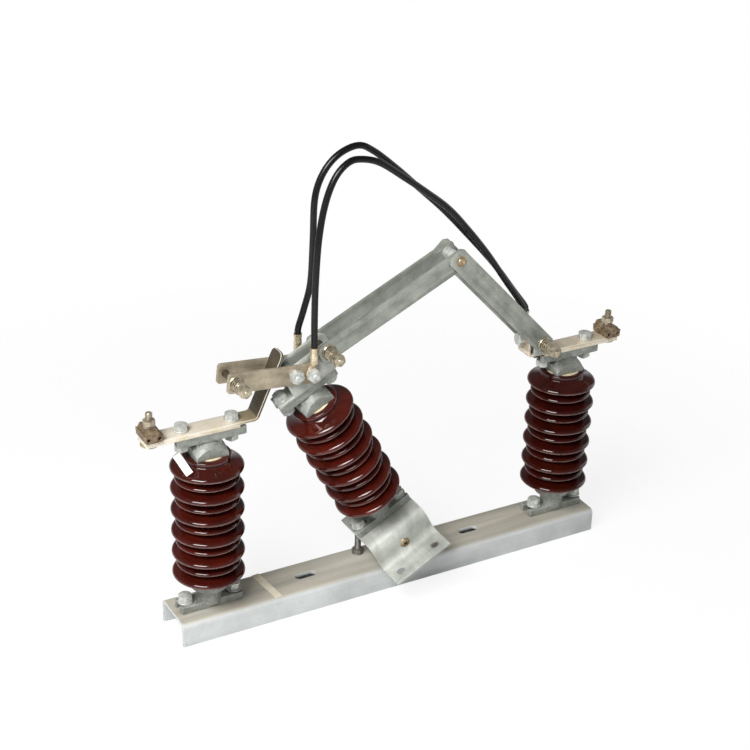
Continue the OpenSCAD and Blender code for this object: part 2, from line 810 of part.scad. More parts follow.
// Its front leg, bent over from the top and out again into the operating flap
module rocker_flap() {
  turn_y = outer_y + bracket_r;
  flap_y = outer_y + flap_reach;
  leg_top = rocker_foot - fold_r;
  leg_low = bracket_r - flap_drop;
  color("lightgray") difference() {
    rocker_profile(bracket_w) {
      bend([fold_r - outer_y, leg_top], 90);
      translate([-outer_y, leg_low]) square([bracket_t, leg_top - leg_low]);
      bend([-turn_y, leg_low], 270);
      translate([-flap_y, -flap_drop - bracket_t]) square([flap_y - turn_y, bracket_t]);
    }
    pin_hole();
    on_rocker() for (side = [-1, 1])
      translate([side * flap_hole_x, flap_hole_edge - flap_y, -flap_drop - 2 * bracket_t])
        cylinder(d = flap_hole_d, h = 3 * bracket_t);
  }
}

// Its narrow back leg
module rocker_back_leg() {
  color("lightgray") difference() {
    rocker_profile(back_leg_w) translate([bracket_y, -flap_drop]) square([bracket_t, flap_drop + limb_under]);
    pin_hole();
  }
}

// The pin through the bracket's legs and the lugs, with a slotted head in front
module pivot_pin() {
  cap_t = 3;
  color("peru") on_rocker() {
    cross_pin(0, 0, pin_d, -outer_y - eps, outer_y + pin_d / 2);
    difference() {
      cross_pin(0, 0, pin_head_d, -outer_y - cap_t, -outer_y);
      for (turn = [0, 90]) translate([0, -outer_y - cap_t, 0]) rotate([0, turn, 0])
        cube([pin_head_d * 0.7, 2, 2], center = true);
    }
    cross_pin(0, 0, pin_head_d, outer_y, outer_y + 2);
  }
}

module centre_foot() {
  color("silver") on_rocker() translate([0, 0, rocker_foot]) foot();
}

module centre_porcelain() {
  color("maroon") on_rocker() translate([0, 0, rocker_foot]) porcelain();
}

module centre_head() {
  color("silver") on_rocker() translate([0, 0, rocker_foot]) head();
}

module centre_bolts() {
  color("silver") on_rocker() {
    translate([0, 0, rocker_foot]) plate_bolts(foot_t, foot_t + bracket_t, 0);
    translate([0, 0, head_top]) plate_bolts(fork_t, fork_t + head_t, 0);
  }
}

module finger_holes() {
  for (i = [0, 1]) translate([-i * finger_bolt_gap, 0]) circle(d = bolt_hole_d);
}

// The fingers' own frame: origin at the right bolt, X along the fingers
module on_finger() {
  on_rocker() translate([finger_bolt_x, 0, head_top + finger_bolt_z]) rotate([0, finger_turn, 0]) children();
}

// The bracket on the centre head: a plate and two ears
module finger_bracket() {
  left = -plate_bolt_x + washer_d / 2 + 4;
  right = arm_hinge_x + end_dist + 2;
  color("silver") difference() {
    on_rocker() translate([0, 0, head_top]) {
      difference() {
        translate([-plate_l / 2, -ear_y, 0]) cube([plate_l, 2 * ear_y, fork_t]);
        for (side = [-1, 1]) translate([side * plate_bolt_x, 0, -eps])
          cylinder(d = bolt_hole_d, h = fork_t + 2 * eps);
      }
      for (side = [0, 1]) mirror([0, side, 0]) side_plate(-ear_y, fork_t) difference() {
        polygon([
          [left, 0], [plate_l / 2, 0], [right, ear_h * 0.4], [right, ear_h - 7], [right - 7, ear_h],
          [left + 10, ear_h], [left, ear_h - 10]
        ]);
        hole([arm_hinge_x, arm_hinge_z], stud_hole_d);
      }
    }
    on_finger() side_plate(-2 * ear_y, 4 * ear_y) finger_holes();
  }
}

// The two flat fingers that grip the contact, with the corner by the arm cut back
module contact_fingers() {
  half = bar_w / 2;
  cut = 12;
  nose = 3;
  color("burlywood") on_finger() for (side = [0, 1]) mirror([0, side, 0]) side_plate(-ear_y - bar_t, bar_t)
    difference() {
      polygon([
        [-finger_end, nose - half], [nose - finger_end, -half], [end_dist - nose, -half],
        [end_dist, nose - half], [end_dist, half - cut], [end_dist - cut, half], [nose - finger_end, half],
        [-finger_end, half - nose]
      ]);
      finger_holes();
      hole([end_dist - finger_end, 0], stud_hole_d);
    }
}

// Through bolts of the fingers; the right one also holds the lugs
module finger_bolts() {
  color("lightgray") on_finger() for (i = [0, 1]) {
    seat = ear_y + bar_t + (i == 0 ? palm_t : 0);
    x = -i * finger_bolt_gap;
    cross_hex(x, 0, bolt_af, seat, seat + bolt_head_h);
    cross_hex(x, 0, bolt_af, -seat - nut_h, -seat);
    cross_pin(x, 0, bolt_d, -seat - nut_h - thread_end, seat + eps);
  }
}

module finger_spring_bolt() {
  seat = ear_y + bar_t;
  color("khaki") on_finger() spring_bolt(end_dist - finger_end, 0, -seat, seat);
}

module arm_spring_bolt() {
  seat = left_bar_y + bar_t + side_clear;
  color("khaki") spring_bolt(arm_pivot[0], arm_pivot[1], -seat, seat);
}

// The front and back crimp lugs on the right finger bolt
module finger_lugs() {
  color("lightgray") for (side = [0, 1]) mirror([0, side, 0])
    translate([lug_base[0], -ear_y - bar_t, lug_base[1]]) rotate([0, 0, -90]) lug(0, true);
}

// Arms

module left_arm_bars() {
  color("darkgray") for (side = [0, 1]) mirror([0, side, 0]) side_plate(-left_bar_y - bar_t, bar_t)
    difference() {
      arm_profile(arm_pivot, apex, end_dist + 3, end_dist + 2, arm_cut);
      hole(arm_pivot, stud_hole_d);
      hole(apex, bolt_d + 2 * pin_clear);
    }
}

// The apex pin's inner stretch with its spacer, held by the left arm
module apex_spacer() {
  spacer_d = bolt_d + 6;
  color("lightgray") {
    cross_pin(apex[0], apex[1], spacer_d, -left_bar_y, left_bar_y);
    cross_pin(apex[0], apex[1], bolt_d, -left_bar_y - bar_t, left_bar_y + bar_t);
  }
}

module right_arm_bars() {
  color("darkgray") for (side = [0, 1]) mirror([0, side, 0]) side_plate(-right_bar_y - bar_t, bar_t)
    difference() {
      arm_profile(apex, hinge, end_dist + 4, end_dist, arm_cut);
      hole(hinge, stud_hole_d);
      hole(apex, bolt_d + 2 * pin_clear);
    }
}

// The apex pin's two riveted ends, held by the right arm
module apex_rivets() {
  rivet_d = bolt_d + 5;
  rivet_h = 3;
  outer = right_bar_y + bar_t;
  color("lightgray") for (side = [0, 1]) mirror([0, side, 0]) {
    cross_pin(apex[0], apex[1], rivet_d, -outer - rivet_h, -outer);
    cross_pin(apex[0], apex[1], bolt_d, -outer - eps, -right_bar_y);
  }
}

// Cables

module front_cable() {
  color("black") cable(front_from, front_rise, front_to, front_fall);
}

module back_cable() {
  color("black") cable(back_from, back_rise, back_to, back_fall);
}

base_channel();
label_strip();
pivot_lugs();
stop_bolt();
left_foot();
left_porcelain();
left_head();
right_foot();
right_porcelain();
right_head();
foot_bolts();
head_bolts();
left_terminal_bar();
fixed_contact();
right_terminal_bar();
hinge_bar();
clamp_bases();
clamp_saddles();
clamp_studs();
paper_tag();
hinge_bracket();
hinge_spring_bolt();
front_tab_lug();
back_tab_lug();
tab_bolt();
rocker_plate();
rocker_flap();
rocker_back_leg();
pivot_pin();
centre_foot();
centre_porcelain();
centre_head();
centre_bolts();
finger_bracket();
contact_fingers();
finger_bolts();
finger_spring_bolt();
arm_spring_bolt();
finger_lugs();
left_arm_bars();
apex_spacer();
right_arm_bars();
apex_rivets();
front_cable();
back_cable();
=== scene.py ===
import bpy
import bmesh
from math import atan2, cos, pi, radians, sin
from mathutils import Matrix, Vector


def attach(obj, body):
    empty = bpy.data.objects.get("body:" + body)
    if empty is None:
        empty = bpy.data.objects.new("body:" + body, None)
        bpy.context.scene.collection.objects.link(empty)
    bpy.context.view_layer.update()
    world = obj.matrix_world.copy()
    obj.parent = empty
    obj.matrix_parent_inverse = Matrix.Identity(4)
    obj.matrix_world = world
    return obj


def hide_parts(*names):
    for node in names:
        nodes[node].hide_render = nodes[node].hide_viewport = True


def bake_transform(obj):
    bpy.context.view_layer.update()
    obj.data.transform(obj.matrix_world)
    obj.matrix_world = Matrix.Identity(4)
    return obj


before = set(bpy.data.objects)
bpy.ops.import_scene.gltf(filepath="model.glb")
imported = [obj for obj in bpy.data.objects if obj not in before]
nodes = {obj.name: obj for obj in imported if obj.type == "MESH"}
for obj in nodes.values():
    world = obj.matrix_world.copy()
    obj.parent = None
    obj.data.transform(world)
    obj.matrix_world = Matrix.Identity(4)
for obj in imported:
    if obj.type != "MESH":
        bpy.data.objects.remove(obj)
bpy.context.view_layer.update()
mm = 0.001


def linked(name, data):  # new object in the scene
    thing = bpy.data.objects.new(name, data)
    bpy.context.scene.collection.objects.link(thing)
    return thing


# camera first, at the photo's viewpoint

cameraSet = {"place": (-1.131, -1.9035, 1.4616), "azimuth": -29.96, "elevation": 26.84, "roll": 1.85, "lens": 81.81}


def makeCamera():
    az, el, roll = (radians(cameraSet[key]) for key in ("azimuth", "elevation", "roll"))
    back = Vector((sin(az) * cos(el), -cos(az) * cos(el), sin(el)))
    level = Vector((cos(az), sin(az), 0))
    over = back.cross(level)
    right = level * cos(roll) + over * sin(roll)
    up = over * cos(roll) - level * sin(roll)
    turn = Matrix((right, up, back)).transposed().to_4x4()
    data = bpy.data.cameras.new("photoCamera")
    data.sensor_fit = "HORIZONTAL"
    data.sensor_width = 36
    data.lens = cameraSet["lens"]
    camera = linked("photoCamera", data)
    camera.matrix_world = Matrix.Translation(cameraSet["place"]) @ turn
    bpy.context.scene.camera = camera


makeCamera()
print("camera in place")


# helpers for meshes

def toMesh(name, bm):
    mesh = bpy.data.meshes.new(name)
    bm.to_mesh(mesh)
    bm.free()
    return mesh


def evaluated(thing):  # mesh after the modifiers
    bpy.context.view_layer.update()
    return bpy.data.meshes.new_from_object(thing.evaluated_get(bpy.context.evaluated_depsgraph_get()))


def dropped(thing):  # removes a helper and its mesh
    mesh = thing.data
    bpy.data.objects.remove(thing)
    bpy.data.meshes.remove(mesh)


def addObject(name, bm, material, body, replaced=(), sharp=35, edges=None):
    bmesh.ops.recalc_face_normals(bm, faces=bm.faces)
    for face in bm.faces:
        face.smooth = True
    for edge in bm.edges:
        if len(edge.link_faces) == 2 and edge.calc_face_angle(0) > radians(sharp):
            edge.smooth = False
    return addMesh(name, toMesh(name, bm), material, body, replaced, edges)


def addMesh(name, mesh, material, body, replaced=(), edges=None):
    piece = linked(name, mesh)
    if len(mesh.materials):
        mesh.materials.clear()
    for look in (material, edges) if edges else (material,):
        mesh.materials.append(look)
    if body:
        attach(piece, body)
    if replaced:
        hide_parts(*replaced)
    return piece


def settle(bm, part, place):  # moves a finished part to its place in the piece
    bmesh.ops.transform(part, matrix=place, verts=part.verts)
    carrier = toMesh("carrier", part)
    bm.from_mesh(carrier)
    bpy.data.meshes.remove(carrier)


def aim(point, along):  # a place whose Z axis points along
    turn = Vector(along).normalized().to_track_quat("Z", "Y")
    return Matrix.Translation(point) @ turn.to_matrix().to_4x4()


def moved(x=0, y=0, z=0):  # a place shifted by mm
    return Matrix.Translation((x * mm, y * mm, z * mm))


def turned(angle, axis="Z"):
    return Matrix.Rotation(angle, 4, axis)


def vertsOf(geom):
    return [g for g in geom if isinstance(g, bmesh.types.BMVert)]


def edgesOf(ring):  # edges of a ring of vertices, in order
    return list(dict.fromkeys(e for v in ring for e in v.link_edges))


def lathe(bm, outline, place=Matrix(), steps=36):  # outline is (radius, height) in mm
    part = bmesh.new()
    verts = [part.verts.new((r * mm, 0, z * mm)) for r, z in outline]
    edges = [part.edges.new(pair) for pair in zip(verts, verts[1:])]
    bmesh.ops.spin(part, geom=verts + edges, cent=(0, 0, 0), axis=(0, 0, 1), angle=2 * pi, steps=steps,
                   use_merge=True)
    bmesh.ops.remove_doubles(part, verts=part.verts, dist=1e-6)
    settle(bm, part, place)


def shank(bm, radius, low, high, place, steps=24):
    lathe(bm, [(0, low), (radius, low), (radius, high), (0, high)], place, steps)


def coil(bm, outline, pitch, turns, place=Matrix(), steps=20):  # closed outline swept up a helix
    part = bmesh.new()
    verts = [part.verts.new((r * mm, 0, z * mm)) for r, z in outline]
    edges = [part.edges.new(pair) for pair in zip(verts, verts[1:] + verts[:1])]
    total = round(steps * turns)
    rise = pitch * turns * mm / total
    bmesh.ops.spin(part, geom=verts + edges, cent=(0, 0, 0), axis=(0, 0, 1), dvec=(0, 0, rise),
                   angle=2 * pi * turns, steps=total)
    bmesh.ops.holes_fill(part, edges=[e for e in part.edges if e.is_boundary])
    settle(bm, part, place)


def wire(radius, thick, sides=8):  # round wire section for a coil
    return [(radius + thick * cos(2 * pi * k / sides), thick * sin(2 * pi * k / sides)) for k in range(sides)]


hexSet = {"rim": 0.475, "slope": 0.55, "segments": 36}


def hexBody(bm, flats, low, high, place=Matrix(), chamferLow=False):  # nut or head with its corners turned off
    part = bmesh.new()
    apothem, rimR = flats / 2 * mm, flats * hexSet["rim"] * mm

    def toHex(verts, z, lift):
        for v in verts:
            angle = atan2(v.co.y, v.co.x)
            reach = apothem / cos(angle % (pi / 3) - pi / 6)
            v.co = (reach * cos(angle), reach * sin(angle), z + lift * (reach - rimR) * hexSet["slope"])

    def grow(edges):
        geom = bmesh.ops.extrude_edge_only(part, edges=edges)["geom"]
        return vertsOf(geom), [g for g in geom if isinstance(g, bmesh.types.BMEdge) and g.is_boundary]

    ring = bmesh.ops.create_circle(part, cap_ends=True, segments=hexSet["segments"], radius=rimR)["verts"]
    bmesh.ops.translate(part, verts=ring, vec=(0, 0, high * mm))
    verts, edges = grow(edgesOf(ring))
    toHex(verts, high * mm, -1)
    verts, edges = grow(edges)
    toHex(verts, low * mm, 1 if chamferLow else 0)
    bmesh.ops.holes_fill(part, edges=edges)
    settle(bm, part, place)


threadSet = {"depth": 0.42, "chamfer": 0.8, "runOut": 1.2, "sunk": 0.15, "crest": (0.45, 0.55)}


def threaded(bm, radius, low, high, place=Matrix(), pitch=1.75):  # thread with a chamfered end
    plan = threadSet
    core, end = radius - pitch * plan["depth"], plan["chamfer"]
    lathe(bm, [(0, low), (core, low), (core, high - end), (core - end, high), (0, high)], place, 24)
    turns = max(1, int((high - low - plan["runOut"]) / pitch))
    root = core - plan["sunk"]
    crest = [(radius, low + pitch * share) for share in plan["crest"]]
    coil(bm, [(root, low)] + crest + [(root, low + pitch)], pitch, turns, place)


def flatWasher(bm, outer, inner, low, high, place=Matrix()):
    soft = 0.4
    lathe(bm, [(inner, low), (outer - soft, low), (outer, low + soft), (outer, high - soft), (outer - soft, high),
               (inner, high), (inner, low)], place, 32)


def lockWasher(bm, outer, inner, low, high, place=Matrix()):  # split spring washer
    lift, turns = 0.6, 0.97
    outline = [(inner, low), (outer, low), (outer, high - lift), (inner, high - lift)]
    coil(bm, outline, lift, turns, place, 32)


def nodeMesh(node):  # merged copy of a CAD node
    bm = bmesh.new()
    bm.from_mesh(nodes[node].data)
    bmesh.ops.remove_doubles(bm, verts=bm.verts, dist=1e-6)
    return bm


def breakEdges(bm, width, limit):  # broken edges take the second, brighter material: partly rubbed wear, partly painted highlight
    edges = [e for e in bm.edges if len(e.link_faces) == 2 and e.calc_face_angle(0) > radians(limit)]
    made = bmesh.ops.bevel(bm, geom=edges, offset=width * mm, offset_type="OFFSET", affect="EDGES", segments=2,
                           profile=0.5, material=-1, clamp_overlap=True)
    for face in made["faces"]:
        face.material_index = 1


edgeSet = {"channel": (1.0, "channel_steel"), "bracket": (0.6, "galvanised_steel"),  # width of the edge, slot
           "terminal": (0.7, "tinned_copper"), "finger": (0.7, "tinned_copper"), "arm": (0.7, "arm_bar")}


def softenedEdges(name, node, look, body):  # plate or bar with broken edges
    width, slot = edgeSet[look]
    bm = nodeMesh(node)
    bmesh.ops.dissolve_limit(bm, angle_limit=radians(1), verts=bm.verts, edges=bm.edges)
    breakEdges(bm, width, 40)
    addObject(name, bm, finish[look], body, [node], edges=finish[look + "Edge"])


castSet = {"head": (0.7, 1), "foot": (0.75, 2), "clamp": (0.45, 2)}  # voxel in mm, smoothing rounds


def castSkin(name, node, kind, look, body):  # casting with rounded edges and filled corners
    voxel, rounds = castSet[kind]
    raw = linked(name + "Raw", toMesh(name, nodeMesh(node)))
    remesh = raw.modifiers.new("skin", "REMESH")
    remesh.mode = "VOXEL"
    remesh.voxel_size = voxel * mm
    smooth = raw.modifiers.new("flow", "SMOOTH")
    smooth.factor = 0.5
    smooth.iterations = rounds
    done = evaluated(raw)
    done.name = name
    dropped(raw)
    for face in done.polygons:
        face.use_smooth = True
    addMesh(name, done, finish[look], body, [node])


def carved(name, bm, cutter):  # bm less the cutter
    shapes = []
    for part, label in ((bm, name + "Solid"), (cutter, name + "Cutter")):
        bmesh.ops.recalc_face_normals(part, faces=part.faces)
        shapes.append(linked(label, toMesh(label, part)))
    cut = shapes[0].modifiers.new("cut", "BOOLEAN")
    cut.operation = "DIFFERENCE"
    cut.solver = "EXACT"
    cut.object = shapes[1]
    done = evaluated(shapes[0])
    result = bmesh.new()
    result.from_mesh(done)
    bpy.data.meshes.remove(done)
    for shape in shapes:
        dropped(shape)
    return result


def smoothLine(points, rounds=3):  # corner cutting, ends kept
    for _ in range(rounds):
        cut = [points[0]]
        for a, b in zip(points, points[1:]):
            cut.append(tuple(p * 0.75 + q * 0.25 for p, q in zip(a, b)))
            cut.append(tuple(p * 0.25 + q * 0.75 for p, q in zip(a, b)))
        points = cut + [points[-1]]
    return points


# shader groups

def newGroup(name, inputs, outputs):
    tree = bpy.data.node_groups.new(name, "ShaderNodeTree")
    for label, kind, value in inputs:
        socket = tree.interface.new_socket(name=label, in_out="INPUT", socket_type=kind)
        if value is not None:
            socket.default_value = value
    for label, kind in outputs:
        tree.interface.new_socket(name=label, in_out="OUTPUT", socket_type=kind)
    return tree, tree.nodes.new("NodeGroupInput"), tree.nodes.new("NodeGroupOutput")


def addNode(tree, kind, links=(), **values):
    node = tree.nodes.new(kind)
    for key, value in values.items():
        setattr(node, key, value)
    for socket, source in links:
        if hasattr(source, "is_output"):
            tree.links.new(source, node.inputs[socket])
        else:
            node.inputs[socket].default_value = source
    return node


def noiseValue(tree, vector, scale, detail, rough=0.5):
    links = [("Vector", vector), ("Scale", scale), ("Detail", detail), ("Roughness", rough)]
    return addNode(tree, "ShaderNodeTexNoise", links).outputs["Fac"]


def ramped(tree, value, low, high, toLow=0.0, toHigh=1.0):
    links = [("Value", value), ("From Min", low), ("From Max", high), ("To Min", toLow), ("To Max", toHigh)]
    return addNode(tree, "ShaderNodeMapRange", links).outputs["Result"]


def mixed(tree, fac, first, second):
    return addNode(tree, "ShaderNodeMix", [(0, fac), (6, first), (7, second)], data_type="RGBA").outputs[2]


def maths(tree, operation, first, second):
    return addNode(tree, "ShaderNodeMath", [(0, first), (1, second)], operation=operation).outputs[0]


def product(tree, first, second):
    return maths(tree, "MULTIPLY", first, second)


def vectorMath(tree, operation, *given):
    return addNode(tree, "ShaderNodeVectorMath", list(enumerate(given)), operation=operation)


def axisValue(tree, vector, axis):
    return addNode(tree, "ShaderNodeSeparateXYZ", [(0, vector)]).outputs[axis]


def bumped(tree, height, strength, distance):
    links = [("Height", height), ("Strength", strength), ("Distance", distance)]
    return addNode(tree, "ShaderNodeBump", links).outputs["Normal"]


wearAndShadeSet = {"cloud": (0.33, 0.67), "streakScale": 40.0, "streak": (0.42, 0.72), "pit": (0.16, 0.05),
           "patchScale": 55.0, "patch": (0.5, 0.62), "edge": (0.52, 0.62), "corner": (0.485, 0.4)}


def makeWearAndShadeGroup():  # clouds, drawn streaks, pits and grain of worked metal, with edge and corner masks: lighter edges are partly rubbed wear and partly painted highlight, dark corners are painted shade
    plan = wearAndShadeSet
    scales = [(name + " Scale", "NodeSocketFloat", None) for name in ("Cloud", "Grain", "Pit")]
    places = [("Vector", "NodeSocketVector", None), ("Stretch", "NodeSocketVector", (1, 1, 1))]
    masks = [(name, "NodeSocketFloat") for name in ("Cloud", "Streak", "Pits", "Grain", "Edge", "Corner")]
    tree, given, out = newGroup("metalWearAndShade", places + scales, masks)
    vector = given.outputs["Vector"]
    cloud = noiseValue(tree, vector, given.outputs["Cloud Scale"], 5, 0.62)
    drawn = vectorMath(tree, "MULTIPLY", vector, given.outputs["Stretch"]).outputs[0]
    streak = noiseValue(tree, drawn, plan["streakScale"], 4, 0.6)
    cells = addNode(tree, "ShaderNodeTexVoronoi", [("Vector", vector), ("Scale", given.outputs["Pit Scale"])])
    patchy = ramped(tree, noiseValue(tree, vector, plan["patchScale"], 2), *plan["patch"])
    # pointiness: edges get lighter (partly rubbed wear, partly painted highlight), concave corners get painted
    # shade
    point = tree.nodes.new("ShaderNodeNewGeometry").outputs["Pointiness"]
    made = {"Cloud": ramped(tree, cloud, *plan["cloud"]), "Streak": ramped(tree, streak, *plan["streak"]),
            "Pits": product(tree, ramped(tree, cells.outputs["Distance"], *plan["pit"]), patchy),
            "Grain": noiseValue(tree, vector, given.outputs["Grain Scale"], 3, 0.6),
            "Edge": ramped(tree, point, *plan["edge"]), "Corner": ramped(tree, point, *plan["corner"])}
    for name, value in made.items():
        tree.links.new(value, out.inputs[name])
    return tree


wearAndShadeGroup = makeWearAndShadeGroup()


def srgb(*rgb):
    return tuple((c / 255 / 12.92 if c < 10.3 else ((c / 255 + 0.055) / 1.055) ** 2.4) for c in rgb) + (1.0,)


def startMaterial(name):
    material = bpy.data.materials.new(name)
    material.use_nodes = True
    tree = material.node_tree
    shader = tree.nodes["Principled BSDF"]
    coords = tree.nodes.new("ShaderNodeTexCoord").outputs["Object"]
    return material, tree, shader, coords


def dress(tree, shader, colour, rough, normal):
    for socket, value in (("Base Color", colour), ("Roughness", rough), ("Normal", normal)):
        tree.links.new(value, shader.inputs[socket])


plainMetal = {"stretch": (1, 1, 1), "cloud": 18, "grain": 600, "pit": 160, "grainTint": 0.1, "deep": 0.0003}
wearAndShadeShare = {"rub": 0.7, "grime": 0.8, "pitDepth": 0.6}


def metalFinish(name, plan):
    plan = {**plainMetal, **plan}
    material, tree, shader, coords = startMaterial(name)
    wearAndShade = tree.nodes.new("ShaderNodeGroup")
    wearAndShade.node_tree = wearAndShadeGroup
    tree.links.new(coords, wearAndShade.inputs["Vector"])
    wearAndShade.inputs["Stretch"].default_value = plan["stretch"]
    for key in ("Cloud", "Grain", "Pit"):
        wearAndShade.inputs[key + " Scale"].default_value = plan[key.lower()]
    cloud, streak, pits, grain, edge, corner = wearAndShade.outputs
    stain = plan["stain"]
    colour = mixed(tree, cloud, plan["dark"], plan["light"])
    colour = mixed(tree, product(tree, streak, plan["streak"]), colour, stain)
    colour = mixed(tree, ramped(tree, grain, 0.45, 0.7, 0.0, plan["grainTint"]), colour, stain)
    if "edge" in plan:  # lighter edges, partly rubbed wear and partly painted highlight; painted shade in the concave corners
        colour = mixed(tree, product(tree, edge, wearAndShadeShare["rub"]), colour, plan["edge"])
        colour = mixed(tree, product(tree, corner, wearAndShadeShare["rub"]), colour, stain)
    if "beyond" in plan:  # darker tone past the second bolt
        start, dull = plan["beyond"]
        colour = mixed(tree, ramped(tree, axisValue(tree, coords, "X"), start, start + 0.02), colour, dull)
    if "above" in plan:  # darker above a height: painted shade on the tab's rising face; on the blade partly tarnish where the contacts rub, partly painted shade
        start, aboveTone = plan["above"]
        rubbed = ramped(tree, axisValue(tree, coords, "Z"), start, start + 0.006)
        colour = mixed(tree, product(tree, rubbed, ramped(tree, cloud, -9.0, 0.8)), colour, aboveTone)
    if "top" in plan:  # painted shade: faces that look up take a darker, warmer tone, streaked darker still
        up = axisValue(tree, tree.nodes.new("ShaderNodeNewGeometry").outputs["Normal"], "Z")
        lying = product(tree, ramped(tree, up, 0.55, 0.95), ramped(tree, cloud, -2.0, 0.6))
        grime = mixed(tree, product(tree, streak, wearAndShadeShare["grime"]), plan["top"], plan["grime"])
        colour = mixed(tree, lying, colour, grime)
    colour = mixed(tree, product(tree, pits, plan["pits"]), colour, stain)
    shader.inputs["Metallic"].default_value = plan["metallic"]
    height = maths(tree, "SUBTRACT", grain, product(tree, pits, wearAndShadeShare["pitDepth"]))
    rough = ramped(tree, grain, 0.25, 0.75, *plan["rough"])
    dress(tree, shader, colour, rough, bumped(tree, height, plan["bump"], plan["deep"]))
    return material


def metal(dark, light, stain, **more):
    return {"dark": srgb(*dark), "light": srgb(*light), "stain": srgb(*stain), **more}


finishSet = {
    # channel: top and grime are painted shade on its upward faces
    "channel": metal((188, 192, 191), (214, 218, 217), (156, 155, 148), streak=0.3, stretch=(0.06, 1, 1),
        top=srgb(184, 179, 165), grime=srgb(142, 138, 124), pits=0.9, metallic=0.15, rough=(0.42, 0.62), bump=0.4,
        deep=0.0004, cloud=14, grainTint=0.22),
    "bracket": metal((154, 157, 150), (200, 203, 195), (118, 118, 108), streak=0.5, stretch=(1, 0.12, 0.12),
        pits=0.5, metallic=0.2, rough=(0.5, 0.7), bump=0.3, cloud=22, grainTint=0.2),
    # casting and bronze: edge is the lighter tone of their edges, partly wear and partly painted highlight
    "casting": metal((130, 133, 127), (158, 161, 154), (72, 71, 63), edge=srgb(222, 224, 217), streak=0.25,
        pits=0.7, metallic=0.25, rough=(0.4, 0.62), bump=0.5, grain=340, deep=0.001, cloud=90, pit=300,
        grainTint=0.3),
    "bolt": metal((170, 173, 168), (216, 218, 212), (104, 102, 92), streak=0.25, pits=0.35, metallic=0.35,
        rough=(0.34, 0.5), bump=0.15, cloud=120, grainTint=0.15),
    "terminal": metal((216, 203, 177), (243, 234, 215), (160, 132, 92), streak=0.3, stretch=(0.12, 1, 1),
        pits=0.45, metallic=0.35, rough=(0.32, 0.5), bump=0.16, cloud=40, grainTint=0.12),
    "finger": metal((144, 133, 113), (186, 174, 152), (104, 90, 66), streak=0.35, stretch=(0.2, 1, 1), pits=0.5,
        metallic=0.45, rough=(0.34, 0.52), bump=0.16, cloud=40, grainTint=0.25),
    "arm": metal((134, 139, 131), (176, 180, 171), (98, 96, 84), streak=0.35, stretch=(0.2, 1, 0.3), pits=0.8,
        metallic=0.4, rough=(0.34, 0.5), bump=0.12, cloud=36, grainTint=0.15),
    "bronze": metal((82, 64, 45), (166, 145, 116), (44, 33, 21), edge=srgb(178, 157, 126), streak=0.4, pits=0.7,
        metallic=0.35, rough=(0.38, 0.6), bump=0.7, grain=380, deep=0.001, cloud=130, pit=300, grainTint=0.3),
    "zinc": metal((142, 131, 110), (206, 196, 174), (96, 80, 54), streak=0.4, pits=0.25, metallic=0.6,
        rough=(0.22, 0.36), bump=0.08, cloud=130),
    "rivet": metal((142, 122, 92), (198, 180, 148), (92, 74, 50), streak=0.4, pits=0.3, metallic=0.6,
        rough=(0.28, 0.42), bump=0.1, cloud=160),
    "brass": metal((124, 104, 76), (206, 186, 152), (70, 52, 34), streak=0.4, pits=0.3, metallic=0.7,
        rough=(0.22, 0.4), bump=0.1, cloud=130),
    "lug": metal((184, 167, 134), (228, 216, 190), (142, 108, 70), streak=0.3, pits=0.25, metallic=0.7,
        rough=(0.18, 0.34), bump=0.08, cloud=100),
    # spring: dark finish used as painted shade, on the spring bolts' cores and in the pin's recess
    "spring": metal((52, 44, 33), (84, 74, 58), (40, 32, 22), streak=0.3, pits=0.3, metallic=0.3,
        rough=(0.5, 0.7), bump=0.1, cloud=90),
    "darkSteel": metal((92, 90, 84), (142, 140, 132), (70, 62, 52), streak=0.4, pits=0.4, metallic=0.6,
        rough=(0.3, 0.5), bump=0.2, cloud=90),
}
# painted shade: the tab is a darker copy of the terminal finish, for its left-facing face, and darker still above
# the bend
finishSet["tab"] = dict(finishSet["terminal"], dark=srgb(204, 191, 166), light=srgb(231, 221, 202),
                        above=(0.334, srgb(172, 158, 135)))
# painted light: the blade is a lighter copy of the terminal finish, for its well-lit top; above the bend it is
# partly tarnish, partly painted shade
finishSet["blade"] = dict(finishSet["terminal"], dark=srgb(232, 220, 197), light=srgb(250, 242, 226),
                          stain=srgb(168, 142, 104), streak=0.2, above=(0.33, srgb(68, 61, 45)),
                          beyond=(-0.268, srgb(160, 146, 116)), metallic=0.2, rough=(0.46, 0.62))
finish = {key: metalFinish(key + "Finish", plan) for key, plan in finishSet.items()}
rubbedSet = {"rough": (0.26, 0.4), "brighter": 1.3, "most": 0.86}
for key in ("channel", "bracket", "terminal", "finger", "arm"):  # brighter metal on the edges: partly rubbed wear, partly painted highlight
    plan = dict(finishSet[key], rough=rubbedSet["rough"])
    for tone in ("dark", "light", "top"):
        if tone in plan:
            bright = (min(c * rubbedSet["brighter"], rubbedSet["most"]) for c in plan[tone][:3])
            plan[tone] = (*bright, 1.0)
    finish[key + "Edge"] = metalFinish(key + "EdgeFinish", plan)


glazeSet = {"deep": srgb(46, 11, 8), "warm": srgb(74, 21, 12), "fleck": srgb(30, 8, 6), "rim": srgb(150, 108, 96),
            "rough": (0.02, 0.04), "roughScale": 60.0, "cloudScale": 24.0, "fleckScale": 420.0,
            "fleckFade": (0.2, 0.05, 0, 0.35), "rimRadius": (0.043, 0.046), "rimOutward": (0.86, 0.97),
            "rimDown": (0.12, -0.12), "rimScale": 70.0, "rimPatch": (0.3, 0.6, 0.1, 0.6),
            "waveScale": 90.0, "wave": (0.03, 0.0003),
            # painted light and shade: each post's glaze colour is scaled up where the light falls on it and down
            # where it falls away
            "paintedLightByPost": {"left": 0.92, "centre": 1.2, "right": 0.55},
            "shine": {"left": 0.55, "centre": 0.5, "right": 0.42}}


